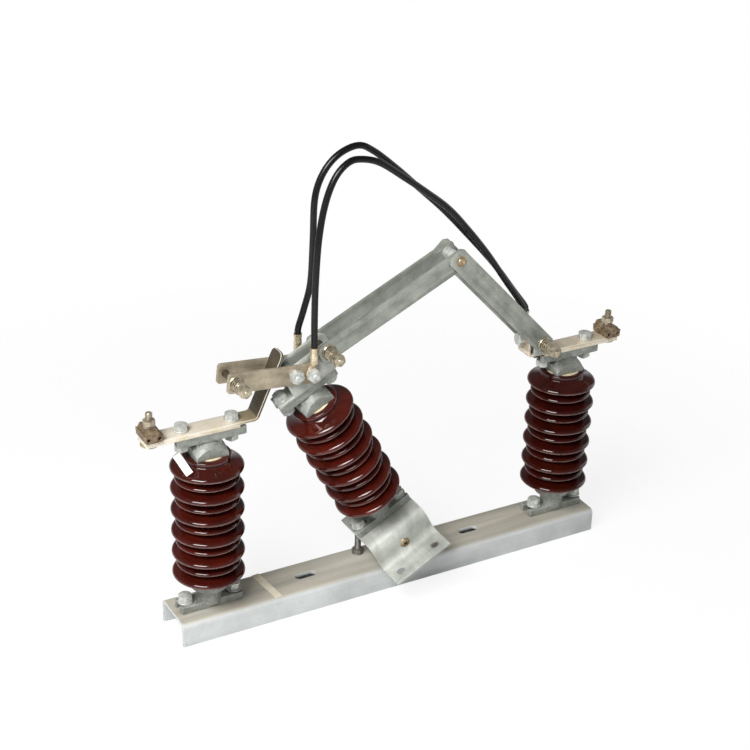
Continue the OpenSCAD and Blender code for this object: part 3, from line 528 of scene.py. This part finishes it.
def glazeFinish(side, place):
    plan, paintedLightByPost = glazeSet, glazeSet["paintedLightByPost"][side]
    material, tree, shader, coords = startMaterial(side + "Glaze")
    cloud = ramped(tree, noiseValue(tree, coords, plan["cloudScale"], 4, 0.6), 0.3, 0.7)
    # painted light and shade for this post
    warm = tuple(c * paintedLightByPost for c in plan["warm"][:3]) + (1.0,)
    deep = tuple(c * min(paintedLightByPost, 1) for c in plan["deep"][:3]) + (1.0,)
    colour = mixed(tree, cloud, deep, warm)
    cells = addNode(tree, "ShaderNodeTexVoronoi", [("Vector", coords), ("Scale", plan["fleckScale"])])
    colour = mixed(tree, ramped(tree, cells.outputs["Distance"], *plan["fleckFade"]), colour, plan["fleck"])
    inverse = place.inverted()
    lean = ("Rotation", inverse.to_euler())
    facing = tree.nodes.new("ShaderNodeTexCoord").outputs["Normal"]
    local = addNode(tree, "ShaderNodeMapping", [("Vector", coords), ("Location", inverse.to_translation()), lean])
    tilted = addNode(tree, "ShaderNodeMapping", [("Vector", facing), lean]).outputs[0]
    flat = vectorMath(tree, "MULTIPLY", local.outputs[0], (1, 1, 0)).outputs[0]
    radius = vectorMath(tree, "LENGTH", flat).outputs["Value"]
    outward = vectorMath(tree, "NORMALIZE", flat).outputs[0]
    along = vectorMath(tree, "DOT_PRODUCT", outward, tilted).outputs["Value"]
    down = axisValue(tree, tilted, "Z")
    rimLine = product(tree, ramped(tree, radius, *plan["rimRadius"]), ramped(tree, along, *plan["rimOutward"]))
    rimLine = product(tree, rimLine, ramped(tree, down, *plan["rimDown"]))  # paler on the rims' lower edge
    patchy = ramped(tree, noiseValue(tree, coords, plan["rimScale"], 3), *plan["rimPatch"])
    colour = mixed(tree, product(tree, rimLine, patchy), colour, plan["rim"])
    rough = ramped(tree, noiseValue(tree, coords, plan["roughScale"], 3), 0.3, 0.7, *plan["rough"])
    waves = bumped(tree, noiseValue(tree, coords, plan["waveScale"], 2), *plan["wave"])
    dress(tree, shader, colour, rough, waves)
    shader.inputs["Specular IOR Level"].default_value = plan["shine"][side]
    return material


def grainFinish(name, dark, light, scale, rough, bump, deep=0.0003, shine=0.5):  # cement, paper and jacket
    material, tree, shader, coords = startMaterial(name)
    shader.inputs["Specular IOR Level"].default_value = shine
    cloud = ramped(tree, noiseValue(tree, coords, scale, 5, 0.65), 0.32, 0.68)
    fine = noiseValue(tree, coords, scale * 8, 4, 0.65)
    rough = ramped(tree, fine, 0.25, 0.75, *rough)
    dress(tree, shader, mixed(tree, cloud, dark, light), rough, bumped(tree, fine, bump, deep))
    return material


cement = grainFinish("headCement", srgb(188, 164, 120), srgb(236, 224, 198), 160.0, (0.7, 0.95), 0.6, 0.001)
paper = grainFinish("tagPaper", srgb(232, 232, 228), srgb(246, 246, 243), 60.0, (0.6, 0.8), 0.1)
labelSheet = grainFinish("labelSheet", srgb(200, 190, 166), srgb(224, 216, 198), 60.0, (0.5, 0.7), 0.1)
jacket = grainFinish("cableJacket", srgb(9, 9, 11), srgb(15, 15, 17), 20.0, (0.24, 0.28), 0.01, 0.0001, 0.28)
print("finishes ready")


# jumper cables

cableSet = {
    "diameter": 9.5, "sides": 20, "finer": 6,
    "front": {"slope": 15, "early": 20, "late": 0, "from": (-146.59, -25.3, 429.14), "to": (215.5, -7, 398.9),
              "rise": [(0, 0, 0), (0, 0, 12), (0, 0.5, 41), (1.5, 2, 91), (6.5, 4, 156), (16.5, 6, 206),
                (31.5, 7, 241), (51.5, 8, 259), (71.5, 8, 261), (101.5, 9, 251), (141.5, 10, 223)],
              "fall": [(-188, -7, 229), (-148, -6, 197), (-116, -5, 163), (-76, -3, 115), (-38, -1, 63),
                (-11, 0, 26), (-1, 0, 8), (0, 0, 0)]},
    "back": {"slope": 24, "early": 0, "late": 60, "from": (-146.59, 25.3, 429.14), "to": (227.5, 7, 398.9),
             "rise": [(0, 0, 0), (1, 0, 10), (9, -0.5, 36), (18, -2, 76), (20, -4, 141), (21, -6, 201),
                (33, -7, 236), (55, -8, 259), (84, -9, 268), (108, -9, 257), (142, -11, 229)],
             "fall": [(-197, 6, 227), (-152, 5, 185), (-107, 3, 137), (-62, 1, 86), (-24, 0, 36), (-3, 0, 9),
                (0, 0, 0)]},
}


def cableLine(plan):  # smooth line through the same points as the solid cable
    points = [Vector(plan["from"]) + Vector(p) for p in plan["rise"]]
    points += [Vector(plan["to"]) + Vector(p) for p in plan["fall"]]
    line, last = [], len(points) - 1
    for i in range(last):
        a, b, c, d = points[max(i - 1, 0)], points[i], points[i + 1], points[min(i + 2, last)]
        for k in range(cableSet["finer"]):
            t = k / cableSet["finer"]
            curve = 2 * b + (c - a) * t + (2 * a - 5 * b + 4 * c - d) * t * t + (3 * b - a - 3 * c + d) * t ** 3
            line.append(0.5 * curve * mm)
    return line + [points[last] * mm]


def makeCable(name, node, plan):
    line = cableLine(plan)
    data = bpy.data.curves.new(name, "CURVE")
    data.dimensions = "3D"
    data.bevel_depth = cableSet["diameter"] / 2 * mm
    data.bevel_resolution = cableSet["sides"] // 4
    data.use_fill_caps = True
    spline = data.splines.new("POLY")
    spline.points.add(len(line) - 1)
    for point, at in zip(spline.points, line):
        point.co = (*at, 1)
    drawn = linked(name + "Line", data)
    mesh = evaluated(drawn)
    mesh.name = name
    bpy.data.objects.remove(drawn)
    for face in mesh.polygons:
        face.use_smooth = len(face.vertices) == 4
    piece = addMesh(name, mesh, jacket, None, [node])
    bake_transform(piece)


makeCable("frontJumper", "front_cable", cableSet["front"])
makeCable("backJumper", "back_cable", cableSet["back"])


# insulators

poleSet = {"pivot": 82, "lean": -28.3, "postX": 300, "channelTop": 38, "plateTop": 30}
leanPlace = moved(z=poleSet["pivot"]) @ turned(radians(poleSet["lean"]), "Y")
postPlaces = {"left": moved(-poleSet["postX"], 0, poleSet["channelTop"]),
              "right": moved(poleSet["postX"], 0, poleSet["channelTop"]),
              "centre": leanPlace @ moved(z=poleSet["plateTop"])}
postBodies = {"left": "base", "right": "base", "centre": "rocker"}

porcelainSet = {
    "firstRim": 58, "pitch": 34.6, "sheds": 6, "footTop": 45, "headLow": 250, "steps": 128,
    "sunk": 1.4,
    "large": [(31.5, -6.6), (33, -4.6), (43, -4.3), (50.3, -3.6), (52.5, -2.3), (52.5, 0.8), (50.4, 3.5),
        (44, 5.2), (36, 8.0), (32, 10.4)],
    "small": [(31.8, -5.0), (33.6, -3.3), (41, -3.1), (45.0, -2.7), (46.5, -1.5), (46.5, 0.7), (44.8, 2.8),
        (40, 4.2), (35, 6.0), (32, 8.0)],
    "skirt": [(29, 45), (31.4, 45.4), (35, 47.4), (42, 50.6), (49.5, 54.0), (52.5, 55.6), (52.5, 58.8),
        (50.4, 61.5), (44, 63.2), (36, 66), (32, 68.4)],
    "crown": [(44, 5.9), (38.0, 8.6), (34.4, 10.6), (33.2, 11.8), (33.6, 13.0), (34.6, 13.8), (34.8, 16.4),
        (34.4, 18.9), (32.4, 19.7), (28.4, 19.5), (22, 18.2)],
}
porcelainSet["crown"] = porcelainSet["large"][:7] + porcelainSet["crown"]  # the top shed runs up to the head
cementSet = {"bed": [(24.4, 246.8), (24, 249.9), (22.4, 250.9)], "top": 251, "shift": -1.4, "steps": 72,
             "wider": {"left": 0, "centre": 0, "right": 2.4}}


def porcelainOutline():
    plan = porcelainSet
    line = list(plan["skirt"])
    for i in range(1, 2 * plan["sheds"] - 1):
        rim = plan["firstRim"] + i * plan["pitch"] / 2
        shape = plan["crown"] if i == 2 * plan["sheds"] - 2 else plan["large"] if i % 2 == 0 else plan["small"]
        line += [(r, rim + z) for r, z in shape]
    return [(0, plan["footTop"])] + smoothLine(line) + [(0, plan["headLow"] - plan["sunk"])]


def makePorcelain(side):
    bm = bmesh.new()
    lathe(bm, porcelainOutline(), postPlaces[side], porcelainSet["steps"])
    glaze = glazeFinish(side, postPlaces[side])
    addObject(side + "Insulator", bm, glaze, postBodies[side], [side + "_porcelain"], 60)
    bm = bmesh.new()  # cement bed under the head
    bed = [(r + cementSet["wider"][side], z) for r, z in cementSet["bed"]]
    place = postPlaces[side] @ moved(y=cementSet["shift"])
    lathe(bm, [(0, bed[0][1])] + bed + [(0, cementSet["top"])], place, cementSet["steps"])
    addObject(side + "Cement", bm, cement, postBodies[side], ())


for side, body in postBodies.items():
    makePorcelain(side)
    castSkin(side + "HeadCasting", side + "_head", "head", "casting", body)
    castSkin(side + "FootCasting", side + "_foot", "foot", "casting", body)
print("posts ready")


# base and bars

barSet = {"width": 30, "thick": 4, "bend": 5.5, "edge": 0.7,
          "contact": {"line": [(-395, 328), (-227.57, 328), (-186.7, 422)], "tipCut": 8, "finish": "blade"},
          "tab": {"line": [(390, 328), (224, 328), (224, 370)], "tipCut": 2, "finish": "tab"}}


def sheet(points, sweep):  # line of points swept into a folded sheet
    bm = bmesh.new()
    verts = [bm.verts.new(point) for point in points]
    edges = [bm.edges.new(pair) for pair in zip(verts, verts[1:])]
    grown = bmesh.ops.extrude_edge_only(bm, edges=edges)["geom"]
    bmesh.ops.translate(bm, vec=sweep, verts=vertsOf(grown))
    return bm


def thickened(bm, thick, right):  # gives a folded sheet its wall, on the side that passes the test
    bmesh.ops.recalc_face_normals(bm, faces=bm.faces)
    for way in (1, -1):
        wall = bm.copy()
        bmesh.ops.solidify(wall, geom=wall.faces[:], thickness=way * thick * mm)
        if right(wall):
            break
    bm.free()
    bmesh.ops.recalc_face_normals(wall, faces=wall.faces)
    return wall


def bentBar(name, node, plan):  # flat bar folded once with a rounded bend
    half = barSet["width"] / 2 * mm
    bm = sheet([(x * mm, -half, z * mm) for x, z in plan["line"]], (0, 2 * half, 0))
    endX, endZ = plan["line"][-1]
    tip = [v for v in bm.verts if abs(v.co.x - endX * mm) < 1e-6 and abs(v.co.z - endZ * mm) < 1e-6]
    bmesh.ops.bevel(bm, geom=tip, offset=plan["tipCut"] * mm, affect="VERTICES", segments=3, profile=0.5,
                    material=-1)
    fold = [e for e in bm.edges if len(e.link_faces) == 2 and e.calc_face_angle(0) > 0.5]
    bmesh.ops.bevel(bm, geom=fold, offset=barSet["bend"] * mm, affect="EDGES", segments=7, profile=0.5, material=-1)
    lowest = min(v.co.z for v in bm.verts)
    bm = thickened(bm, barSet["thick"], lambda part: min(v.co.z for v in part.verts) > lowest - 1e-4)
    breakEdges(bm, barSet["edge"], 60)
    addObject(name, bm, finish[plan["finish"]], "base", [node], edges=finish["terminalEdge"])


bentSet = {"width": 100, "thick": 4, "radii": (12, 16),
           "line": [(47.5, 26), (-43.5, 26), (-43.5, -18), (-93.5, -18)],
           "holeX": 32, "holeY": -75.5, "holeD": 13, "through": (-30, 0), "over": 29, "edge": 0.6}


def rockerBent():  # sheet bracket with two rolled bends and the flap's holes
    plan = bentSet
    edge = -plan["width"] / 2 * mm
    bm = sheet([(edge, y * mm, z * mm) for y, z in plan["line"]], (plan["width"] * mm, 0, 0))
    for radius, (y, z) in zip(plan["radii"], plan["line"][1:]):
        corner = Vector((y, z)) * mm
        fold = [e for e in bm.edges if all((v.co.yz - corner).length < 1e-5 for v in e.verts)]
        bmesh.ops.bevel(bm, geom=fold, offset=radius * mm, affect="EDGES", segments=14, profile=0.5, material=-1)
    bm = thickened(bm, plan["thick"], lambda part: max(v.co.z for v in part.verts) > plan["over"] * mm)
    cutter = bmesh.new()
    for way in (-1, 1):
        shank(cutter, plan["holeD"] / 2, *plan["through"], moved(way * plan["holeX"], plan["holeY"]), 40)
    bm = carved("rockerBent", bm, cutter)
    bmesh.ops.dissolve_limit(bm, angle_limit=radians(0.5), verts=bm.verts, edges=bm.edges)
    breakEdges(bm, plan["edge"], 60)
    bmesh.ops.transform(bm, matrix=leanPlace, verts=bm.verts)
    addObject("rockerBent", bm, finish["bracket"], "rocker", ["rocker_plate", "rocker_flap"],
              edges=finish["bracketEdge"])


softenedEdges("channelBase", "base_channel", "channel", "base")
softenedEdges("pivotEars", "pivot_lugs", "bracket", "base")
rockerBent()
softenedEdges("rockerBackLeg", "rocker_back_leg", "bracket", "rocker")
softenedEdges("fingerFork", "finger_bracket", "bracket", "rocker")
softenedEdges("hingeEars", "hinge_bracket", "bracket", "base")
softenedEdges("lowerBarLeft", "left_terminal_bar", "terminal", "base")
softenedEdges("lowerBarRight", "right_terminal_bar", "terminal", "base")
bentBar("contactBlade", "fixed_contact", barSet["contact"])
bentBar("tabBar", "hinge_bar", barSet["tab"])
softenedEdges("grippingFingers", "contact_fingers", "finger", "rocker")
softenedEdges("leftArm", "left_arm_bars", "arm", "left_arm")
softenedEdges("rightArm", "right_arm_bars", "arm", "right_arm")
castSkin("clampBases", "clamp_bases", "clamp", "bronze", "base")
castSkin("clampSaddles", "clamp_saddles", "clamp", "bronze", "base")
print("base and bars ready")


# fasteners

boltSet = {"d": 12, "flats": 18, "head": 7.5, "nut": 10.5, "washer": 2.5, "washerD": 22, "lock": 3, "lockIn": 1.5,
           "past": 3}


def plateBolt(bm, place, stack, lock):  # seat at z 0, nut under the stack
    b = boltSet
    radius, headZ = b["d"] / 2, b["washer"] + lock
    flatWasher(bm, b["washerD"] / 2, radius, 0, b["washer"], place)
    if lock:
        lockWasher(bm, b["washerD"] / 2 - b["lockIn"], radius, b["washer"], headZ, place)
    hexBody(bm, b["flats"], headZ, headZ + b["head"], place)
    hexBody(bm, b["flats"], -stack - b["nut"], -stack, place, True)
    threaded(bm, radius, stack, stack + b["nut"] + b["past"], place @ turned(pi, "X"))


def boltRow(name, node, body, stack, lock, spots):
    bm = bmesh.new()
    for side, x, z, turn in spots:
        plateBolt(bm, postPlaces[side] @ moved(x, 0, z) @ turned(turn), stack, lock)
    addObject(name, bm, finish["bolt"], body, [node])


boltRow("footBolts", "foot_bolts", "base", stack=17, lock=boltSet["lock"],  # post, X, Z and turn of each bolt
        spots=[("left", -38, 12, 0.3), ("left", 38, 12, 0.9), ("right", -33, 12, 0.5), ("right", 43, 12, 0.1)])
boltRow("headBolts", "head_bolts", "base", stack=20, lock=0,
        spots=[("left", -38, 294, 0.1), ("left", 38, 294, 0.2), ("right", -38, 294, 0.6), ("right", 38, 294, 0.15)])
boltRow("rockerBolts", "centre_bolts", "rocker", stack=16, lock=0,
        spots=[("centre", -38, 12, 0.4), ("centre", 38, 12, 0.2), ("centre", -38, 290, 0.3),
               ("centre", 38, 290, 0.7)])

fingerSet = {"x": 15, "z": 337, "tilt": 33.3, "seats": (21.8, 19.3), "step": -26, "turns": (0.35, 0.75),
             "thread": (10, 13.5), "lap": 0.2}
fingerPlace = leanPlace @ moved(fingerSet["x"], 0, fingerSet["z"]) @ turned(radians(fingerSet["tilt"]), "Y")
forward = turned(pi / 2, "X")  # turns Z towards the viewer


def crossPlace(base, x, y, z):
    return base @ moved(x, y, z) @ forward


def fingerBolts():
    plan, flats, radius = fingerSet, boltSet["flats"], boltSet["d"] / 2
    bm = bmesh.new()
    for i, (seat, turn) in enumerate(zip(plan["seats"], plan["turns"])):
        x = plan["step"] * i
        place = crossPlace(fingerPlace, x, -seat, 0)
        hexBody(bm, flats, 0, boltSet["nut"], place @ turned(turn))
        threaded(bm, radius, *plan["thread"], place)
        hexBody(bm, flats, 0, boltSet["head"], crossPlace(fingerPlace, x, seat, 0) @ turned(pi, "X"))
        shank(bm, radius, -2 * seat, plan["lap"], place)
    addObject("fingerBolts", bm, finish["bolt"], "rocker", ["finger_bolts"])


springSet = {"flats": 16, "head": 7, "wire": (7.9, 0.95), "pitch": 4.2, "turns": 2.9, "low": 2.4,
             "cup": [(5, 0), (11.5, 0), (11.5, 1.2), (10.4, 2.5), (9.6, 1.4), (5, 1.4), (5, 0)],
             "disc": [(4, 15.4), (9.4, 15.4), (10, 15.9), (10, 16.8), (9.6, 17.2), (4, 17.2), (4, 15.4)],
             "washer": [(4, 17.4), (8.2, 17.4), (8.6, 17.8), (8.6, 18.6), (8.2, 19), (4, 19), (4, 17.4)],
             "nuts": [(19, 25.8, 0.3), (26.2, 33, 0.8)], "thread": (5, 32, 36), "threadPitch": 1.5,
             "core": [(4.9, 1), (4.4, 1.2), (4.4, 18.5), (4.9, 18.8), (4.9, 33), (0, 33)], "past": 0.2}


def springBolt(name, node, body, base, x, z, seat):
    plan = springSet
    bm, core = bmesh.new(), bmesh.new()
    place = crossPlace(base, x, -seat, z)
    lathe(bm, plan["cup"], place, 32)
    coil(bm, wire(*plan["wire"]), plan["pitch"], plan["turns"], place @ moved(z=plan["low"]), 24)
    lathe(bm, plan["disc"], place, 32)
    lathe(bm, plan["washer"], place, 32)
    for low, high, turn in plan["nuts"]:
        hexBody(bm, plan["flats"], low, high, place @ turned(turn), True)
    end = -2 * seat - plan["past"]
    # the core inside the coils is painted dark: painted shade in the gaps between the turns
    lathe(core, [(0, end), (plan["core"][0][0], end)] + plan["core"], place, 24)
    threaded(bm, *plan["thread"], place, plan["threadPitch"])
    hexBody(bm, plan["flats"], 0, plan["head"], crossPlace(base, x, seat, z) @ turned(pi, "X"))
    addObject(name, bm, finish["zinc"], body, [node])
    addObject(name + "Core", core, finish["spring"], body, ())


fingerBolts()
springBolt("fingerSpring", "finger_spring_bolt", "rocker", fingerPlace, x=-117, z=0, seat=19.3)
springBolt("armSpring", "arm_spring_bolt", "rocker", Matrix(), x=-120.112, z=413.702, seat=19.9)
springBolt("hingeSpring", "hinge_spring_bolt", "base", Matrix(), x=245, z=351, seat=24.2)

studSet = {"spots": (-384, 379), "shank": (4.9, 323.9, 350), "washer": (8, 5, 349, 352), "nut": (16, 352, 360),
           "turn": 0.35, "thread": (5, 359, 371), "pitch": 1.5,
           "head": [(0, 321), (12.6, 321), (13.5, 321.8), (13.5, 323.2), (13, 324), (0, 324)]}


def clampStuds():
    plan = studSet
    bm = bmesh.new()
    for x in plan["spots"]:
        place = moved(x)
        lathe(bm, plan["head"], place, 40)
        shank(bm, *plan["shank"], place)
        lockWasher(bm, *plan["washer"], place)
        hexBody(bm, *plan["nut"], place @ turned(plan["turn"]), True)
        threaded(bm, *plan["thread"], place, plan["pitch"])
    addObject("clampStuds", bm, finish["zinc"], "base", ["clamp_studs"])


tabSet = {"z": 355.6, "headX": 219, "nutX": 228, "nut": 7.35, "shank": (5.9, -16.5, 0.2)}


def tabBolt():
    plan, flats = tabSet, boltSet["flats"]
    bm = bmesh.new()
    place = aim((plan["headX"] * mm, 0, plan["z"] * mm), (-1, 0, 0))
    hexBody(bm, flats, 0, boltSet["head"], place)
    shank(bm, *plan["shank"], place)
    hexBody(bm, flats, 0, plan["nut"], aim((plan["nutX"] * mm, 0, plan["z"] * mm), (1, 0, 0)), True)
    addObject("tabBolt", bm, finish["bolt"], "base", ["tab_bolt"])


stopSet = {"x": -43, "y": 20, "washer": (9, 5, 38, 39.4), "nut": (16, 39.4, 46), "turn": 0.5,
           "thread": (5, 45, 85.4), "pitch": 1.5}


def stopBolt():
    plan = stopSet
    bm = bmesh.new()
    place = moved(plan["x"], plan["y"])
    flatWasher(bm, *plan["washer"], place)
    hexBody(bm, *plan["nut"], place @ turned(plan["turn"]), True)
    threaded(bm, *plan["thread"], place, plan["pitch"])
    addObject("stopStud", bm, finish["darkSteel"], "base", ["stop_bolt"])


apexSet = {"x": 89, "z": 514,
           "sleeve": [(0, -19.6), (6, -19.6), (6, -15.6), (9, -15.5), (9, 15.5), (6, 15.6), (6, 19.6), (0, 19.6)],
           "rivet": [(0, 19.9), (6, 19.9), (6, 23.9), (8.5, 23.9), (8.5, 24.1), (6.6, 24.2), (6.5, 25.2),
               (5.8, 26.2), (4.4, 26.8), (3.2, 26.9), (2.2, 26.3), (0, 26.1)]}


def apexPin():
    place = crossPlace(Matrix(), apexSet["x"], 0, apexSet["z"])
    sleeve, rivets = bmesh.new(), bmesh.new()
    lathe(sleeve, apexSet["sleeve"], place, 32)
    addObject("apexSleeve", sleeve, finish["bolt"], "left_arm", ["apex_spacer"])
    for way in (0, pi):
        lathe(rivets, apexSet["rivet"], place @ turned(way, "X"), 32)
    addObject("apexRivets", rivets, finish["rivet"], "right_arm", ["apex_rivets"])


clampStuds()
tabBolt()
stopBolt()
apexPin()
print("fasteners ready")


# crimp lugs

lugSet = {"palm": [(0, 0), (9.6, 0), (10, 0.4), (10, 2.1), (9.6, 2.5), (0, 2.5)], "middle": 1.25, "sides": 28,
          "outer": 6, "inner": -3.5, "sharp": 50, "finger": (-146.59, 19.3, 385.84), "tabZ": tabSet["z"],
          "neck": [(0, 0, 0, 1.25, 8), (9, 0, 0.3, 1.25, 7.6), (14, 0.35, 0.7, 2.6, 7.2)],
          "barrel": [(19, 6, 6), (21, 6, 6), (23, 5.3, 5.7), (27, 5.2, 5.6), (29, 6, 6), (33, 5.3, 5.7),
              (37, 5.2, 5.6), (39, 6, 6), (43, 6, 6), (43, 5, 5), (40, 4.9, 4.9)],
          "tab": [("outerTabLug", "front_tab_lug", 221.5, 7, "outer"),
                  ("innerTabLug", "back_tab_lug", 224, -7, "inner")]}


def crimpLug(bm, place, shift, kind):  # palm round the bolt at the origin on x 0, barrel up along Z
    plan, middle, barrelX = lugSet, lugSet["middle"], lugSet[kind]
    lathe(bm, plan["palm"], place @ turned(pi / 2, "Y"), 40)
    rows = [(z, middle + (barrelX - middle) * shareX, shift * shareY, halfX, halfY)
            for z, shareX, shareY, halfX, halfY in plan["neck"]]
    rows += [(z, barrelX, shift, halfX, halfY) for z, halfX, halfY in plan["barrel"]]
    loops = []
    for z, x, y, halfX, halfY in rows:
        ring = bmesh.ops.create_circle(bm, segments=plan["sides"], radius=1)["verts"]
        size = Matrix.Diagonal((halfX * mm, halfY * mm, 1, 1))
        bmesh.ops.transform(bm, matrix=place @ moved(x, y, z) @ size, verts=ring)
        loops.append(edgesOf(ring))
    for a, b in zip(loops, loops[1:]):
        bmesh.ops.bridge_loops(bm, edges=a + b)
    bmesh.ops.holes_fill(bm, edges=loops[0])
    bmesh.ops.holes_fill(bm, edges=loops[-1])


def makeLugs():
    bm = bmesh.new()
    x, y, z = lugSet["finger"]
    for way in (-1, 1):
        crimpLug(bm, moved(x, y * way, z) @ turned(way * pi / 2), 0, "outer")
    addObject("fingerLugs", bm, finish["lug"], "rocker", ["finger_lugs"], lugSet["sharp"])
    for name, node, x, shift, kind in lugSet["tab"]:
        bm = bmesh.new()
        crimpLug(bm, moved(x, 0, lugSet["tabZ"]) @ turned(pi), shift, kind)
        addObject(name, bm, finish["lug"], "base", [node], lugSet["sharp"])


makeLugs()


# pin, label and tag

pinSet = {"head": [(0, 50.4), (2.6, 50.3), (5.6, 49.8), (7.4, 48.8), (8, 47.9), (8, 47.3), (0, 47.3)], "turn": 0.5,
          "recess": (2.4, 2.4, 4), "recessZ": 50.3, "recessArm": 2.8, "shadeR": 5.2, "shadeZ": (48.2, 49.75),
          "shank": (6, 47.4, -53.5),
          "ring": [(6.05, -47.5), (8, -47.5), (8, -49.5), (6.05, -49.5), (6.05, -47.5)]}


def pivotPin():
    plan, place = pinSet, leanPlace @ forward
    head = bmesh.new()
    lathe(head, plan["head"], Matrix(), 40)
    cross = bmesh.new()  # cross recess in the head
    bmesh.ops.create_cube(cross, size=1)
    size = Matrix.Diagonal([side * mm for side in plan["recess"]] + [1])
    bmesh.ops.transform(cross, matrix=moved(z=plan["recessZ"]) @ size, verts=cross.verts)
    sides = [f for f in cross.faces if abs(f.normal.z) < 0.5]
    for face in sides:
        way = face.normal.copy()
        grown = bmesh.ops.extrude_discrete_faces(cross, faces=[face])["faces"][0]
        bmesh.ops.translate(cross, vec=way * plan["recessArm"] * mm, verts=grown.verts)
    head = carved("pivotHead", head, cross)
    low, high = plan["shadeZ"]
    for face in head.faces:  # painted shade in the recess
        middle = face.calc_center_median()
        if middle.xy.length < plan["shadeR"] * mm and low * mm < middle.z < high * mm:
            face.material_index = 1
    bm = bmesh.new()
    settle(bm, head, place @ turned(plan["turn"]))
    shank(bm, *plan["shank"], place, 40)
    lathe(bm, plan["ring"], place, 40)
    addObject("pivotPin", bm, finish["brass"], "rocker", ["pivot_pin"], edges=finish["spring"])


tagSet = {"length": 33, "width": 11, "thick": 0.15, "lift": -0.2, "sag": 0.15, "yaw": -64, "pitch": 43, "roll": 48,
          "corner": (-343.4, -5.4, 301.5), "cells": (24, 8)}


def paperTag():
    plan = tagSet
    yaw, pitch, roll = (radians(plan[key]) for key in ("yaw", "pitch", "roll"))
    bm = bmesh.new()
    bmesh.ops.create_grid(bm, x_segments=plan["cells"][0], y_segments=plan["cells"][1], size=0.5)
    for v in bm.verts:
        x, y = v.co.x + 0.5, v.co.y - 0.5
        z = plan["lift"] - plan["sag"] * sin(x * pi)
        v.co = (x * plan["length"] * mm, y * plan["width"] * mm, z * mm)
    turn = turned(yaw) @ turned(pitch, "Y") @ turned(roll, "X")
    bmesh.ops.transform(bm, matrix=moved(*plan["corner"]) @ turn, verts=bm.verts)
    bmesh.ops.solidify(bm, geom=bm.faces[:], thickness=plan["thick"] * mm)
    addObject("blankTag", bm, paper, "base", ["paper_tag"])


pivotPin()
paperTag()
nodes["label_strip"].data.materials[0] = labelSheet
print("small pieces ready")


# floor, light and background

lightSet = {
    "keySoftbox": {"place": (-1.6, -0.95, 2.05), "target": (0, 0, 0.25), "size": (1.4, 1.0), "power": 90},
    "sideSoftbox": {"place": (2.2, -0.2, 0.9), "target": (0, 0, 0.25), "size": (1.4, 1.6), "power": 7},
    "frontSoftbox": {"place": (-0.2, -2.6, 1.2), "target": (0, 0, 0.2), "size": (1.6, 0.9), "power": 8},
}
floorSet = {"half": 14, "lit": (0.6, 0.6, 0.6, 1), "seen": (0.93, 0.93, 0.93, 1), "white": (0.5, 1.2, 0.84, 1.0)}
worldSet = {"overhead": (0.0, 0.3, 1.0, 0.15), "sides": (-0.6, 0.8, 0.3, 0.17)}
pureWhite = ("Color", (1, 1, 1, 1))


def areaLight(name, place, target, size, power):
    data = bpy.data.lights.new(name, "AREA")
    data.shape = "RECTANGLE"
    data.size, data.size_y = size
    data.energy = power
    lamp = linked(name, data)
    lamp.matrix_world = aim(place, Vector(place) - Vector(target))
    return lamp


def seenRays(tree):  # rays that show the background
    path = tree.nodes.new("ShaderNodeLightPath")
    mirrored = maths(tree, "MAXIMUM", path.outputs["Is Glossy Ray"], path.outputs["Is Transmission Ray"])
    return path.outputs["Is Camera Ray"], maths(tree, "MAXIMUM", path.outputs["Is Camera Ray"], mirrored)


def mixOut(tree, kind, share, first, second):
    mix = addNode(tree, "ShaderNodeMixShader", [(0, share), (1, first.outputs[0]), (2, second.outputs[0])])
    addNode(tree, kind, [("Surface", mix.outputs[0])])


def makeFloor():
    bm = bmesh.new()
    bmesh.ops.create_grid(bm, x_segments=1, y_segments=1, size=floorSet["half"])
    floor = linked("studioFloor", toMesh("studioFloor", bm))
    material = bpy.data.materials.new("paleFloor")
    material.use_nodes = True
    tree = material.node_tree
    tree.nodes.clear()
    camera, shown = seenRays(tree)
    tone = mixed(tree, shown, floorSet["lit"], floorSet["seen"])
    diffuse = addNode(tree, "ShaderNodeBsdfDiffuse", [("Color", tone)])
    glow = addNode(tree, "ShaderNodeEmission", [pureWhite, ("Strength", 1.0)])
    coords = tree.nodes.new("ShaderNodeTexCoord").outputs["Object"]
    reach = vectorMath(tree, "LENGTH", coords).outputs["Value"]
    white = product(tree, camera, ramped(tree, reach, *floorSet["white"]))  # the shadow stays near the object
    mixOut(tree, "ShaderNodeOutputMaterial", white, diffuse, glow)
    floor.data.materials.append(material)


def makeWorld():
    world = bpy.data.worlds.new("paleStudio")
    bpy.context.scene.world = world
    world.use_nodes = True
    tree = world.node_tree
    tree.nodes.clear()
    camera, shown = seenRays(tree)
    direction = tree.nodes.new("ShaderNodeTexCoord").outputs["Generated"]
    split = addNode(tree, "ShaderNodeSeparateXYZ", [(0, direction)])
    ceiling = ramped(tree, split.outputs["Z"], *worldSet["overhead"])  # white at the horizon, dimmer overhead
    ceiling = maths(tree, "MAXIMUM", ceiling, camera)
    soft = ramped(tree, split.outputs["X"], *worldSet["sides"])
    dome = addNode(tree, "ShaderNodeBackground", [pureWhite, ("Strength", soft)])
    backdrop = addNode(tree, "ShaderNodeBackground", [pureWhite, ("Strength", ceiling)])
    mixOut(tree, "ShaderNodeOutputWorld", shown, dome, backdrop)


makeFloor()
makeWorld()
lamps = {name: areaLight(name, **plan) for name, plan in lightSet.items()}
lamps["frontSoftbox"].visible_glossy = False
bpy.context.scene.view_settings.view_transform = "Standard"
print("stage ready")
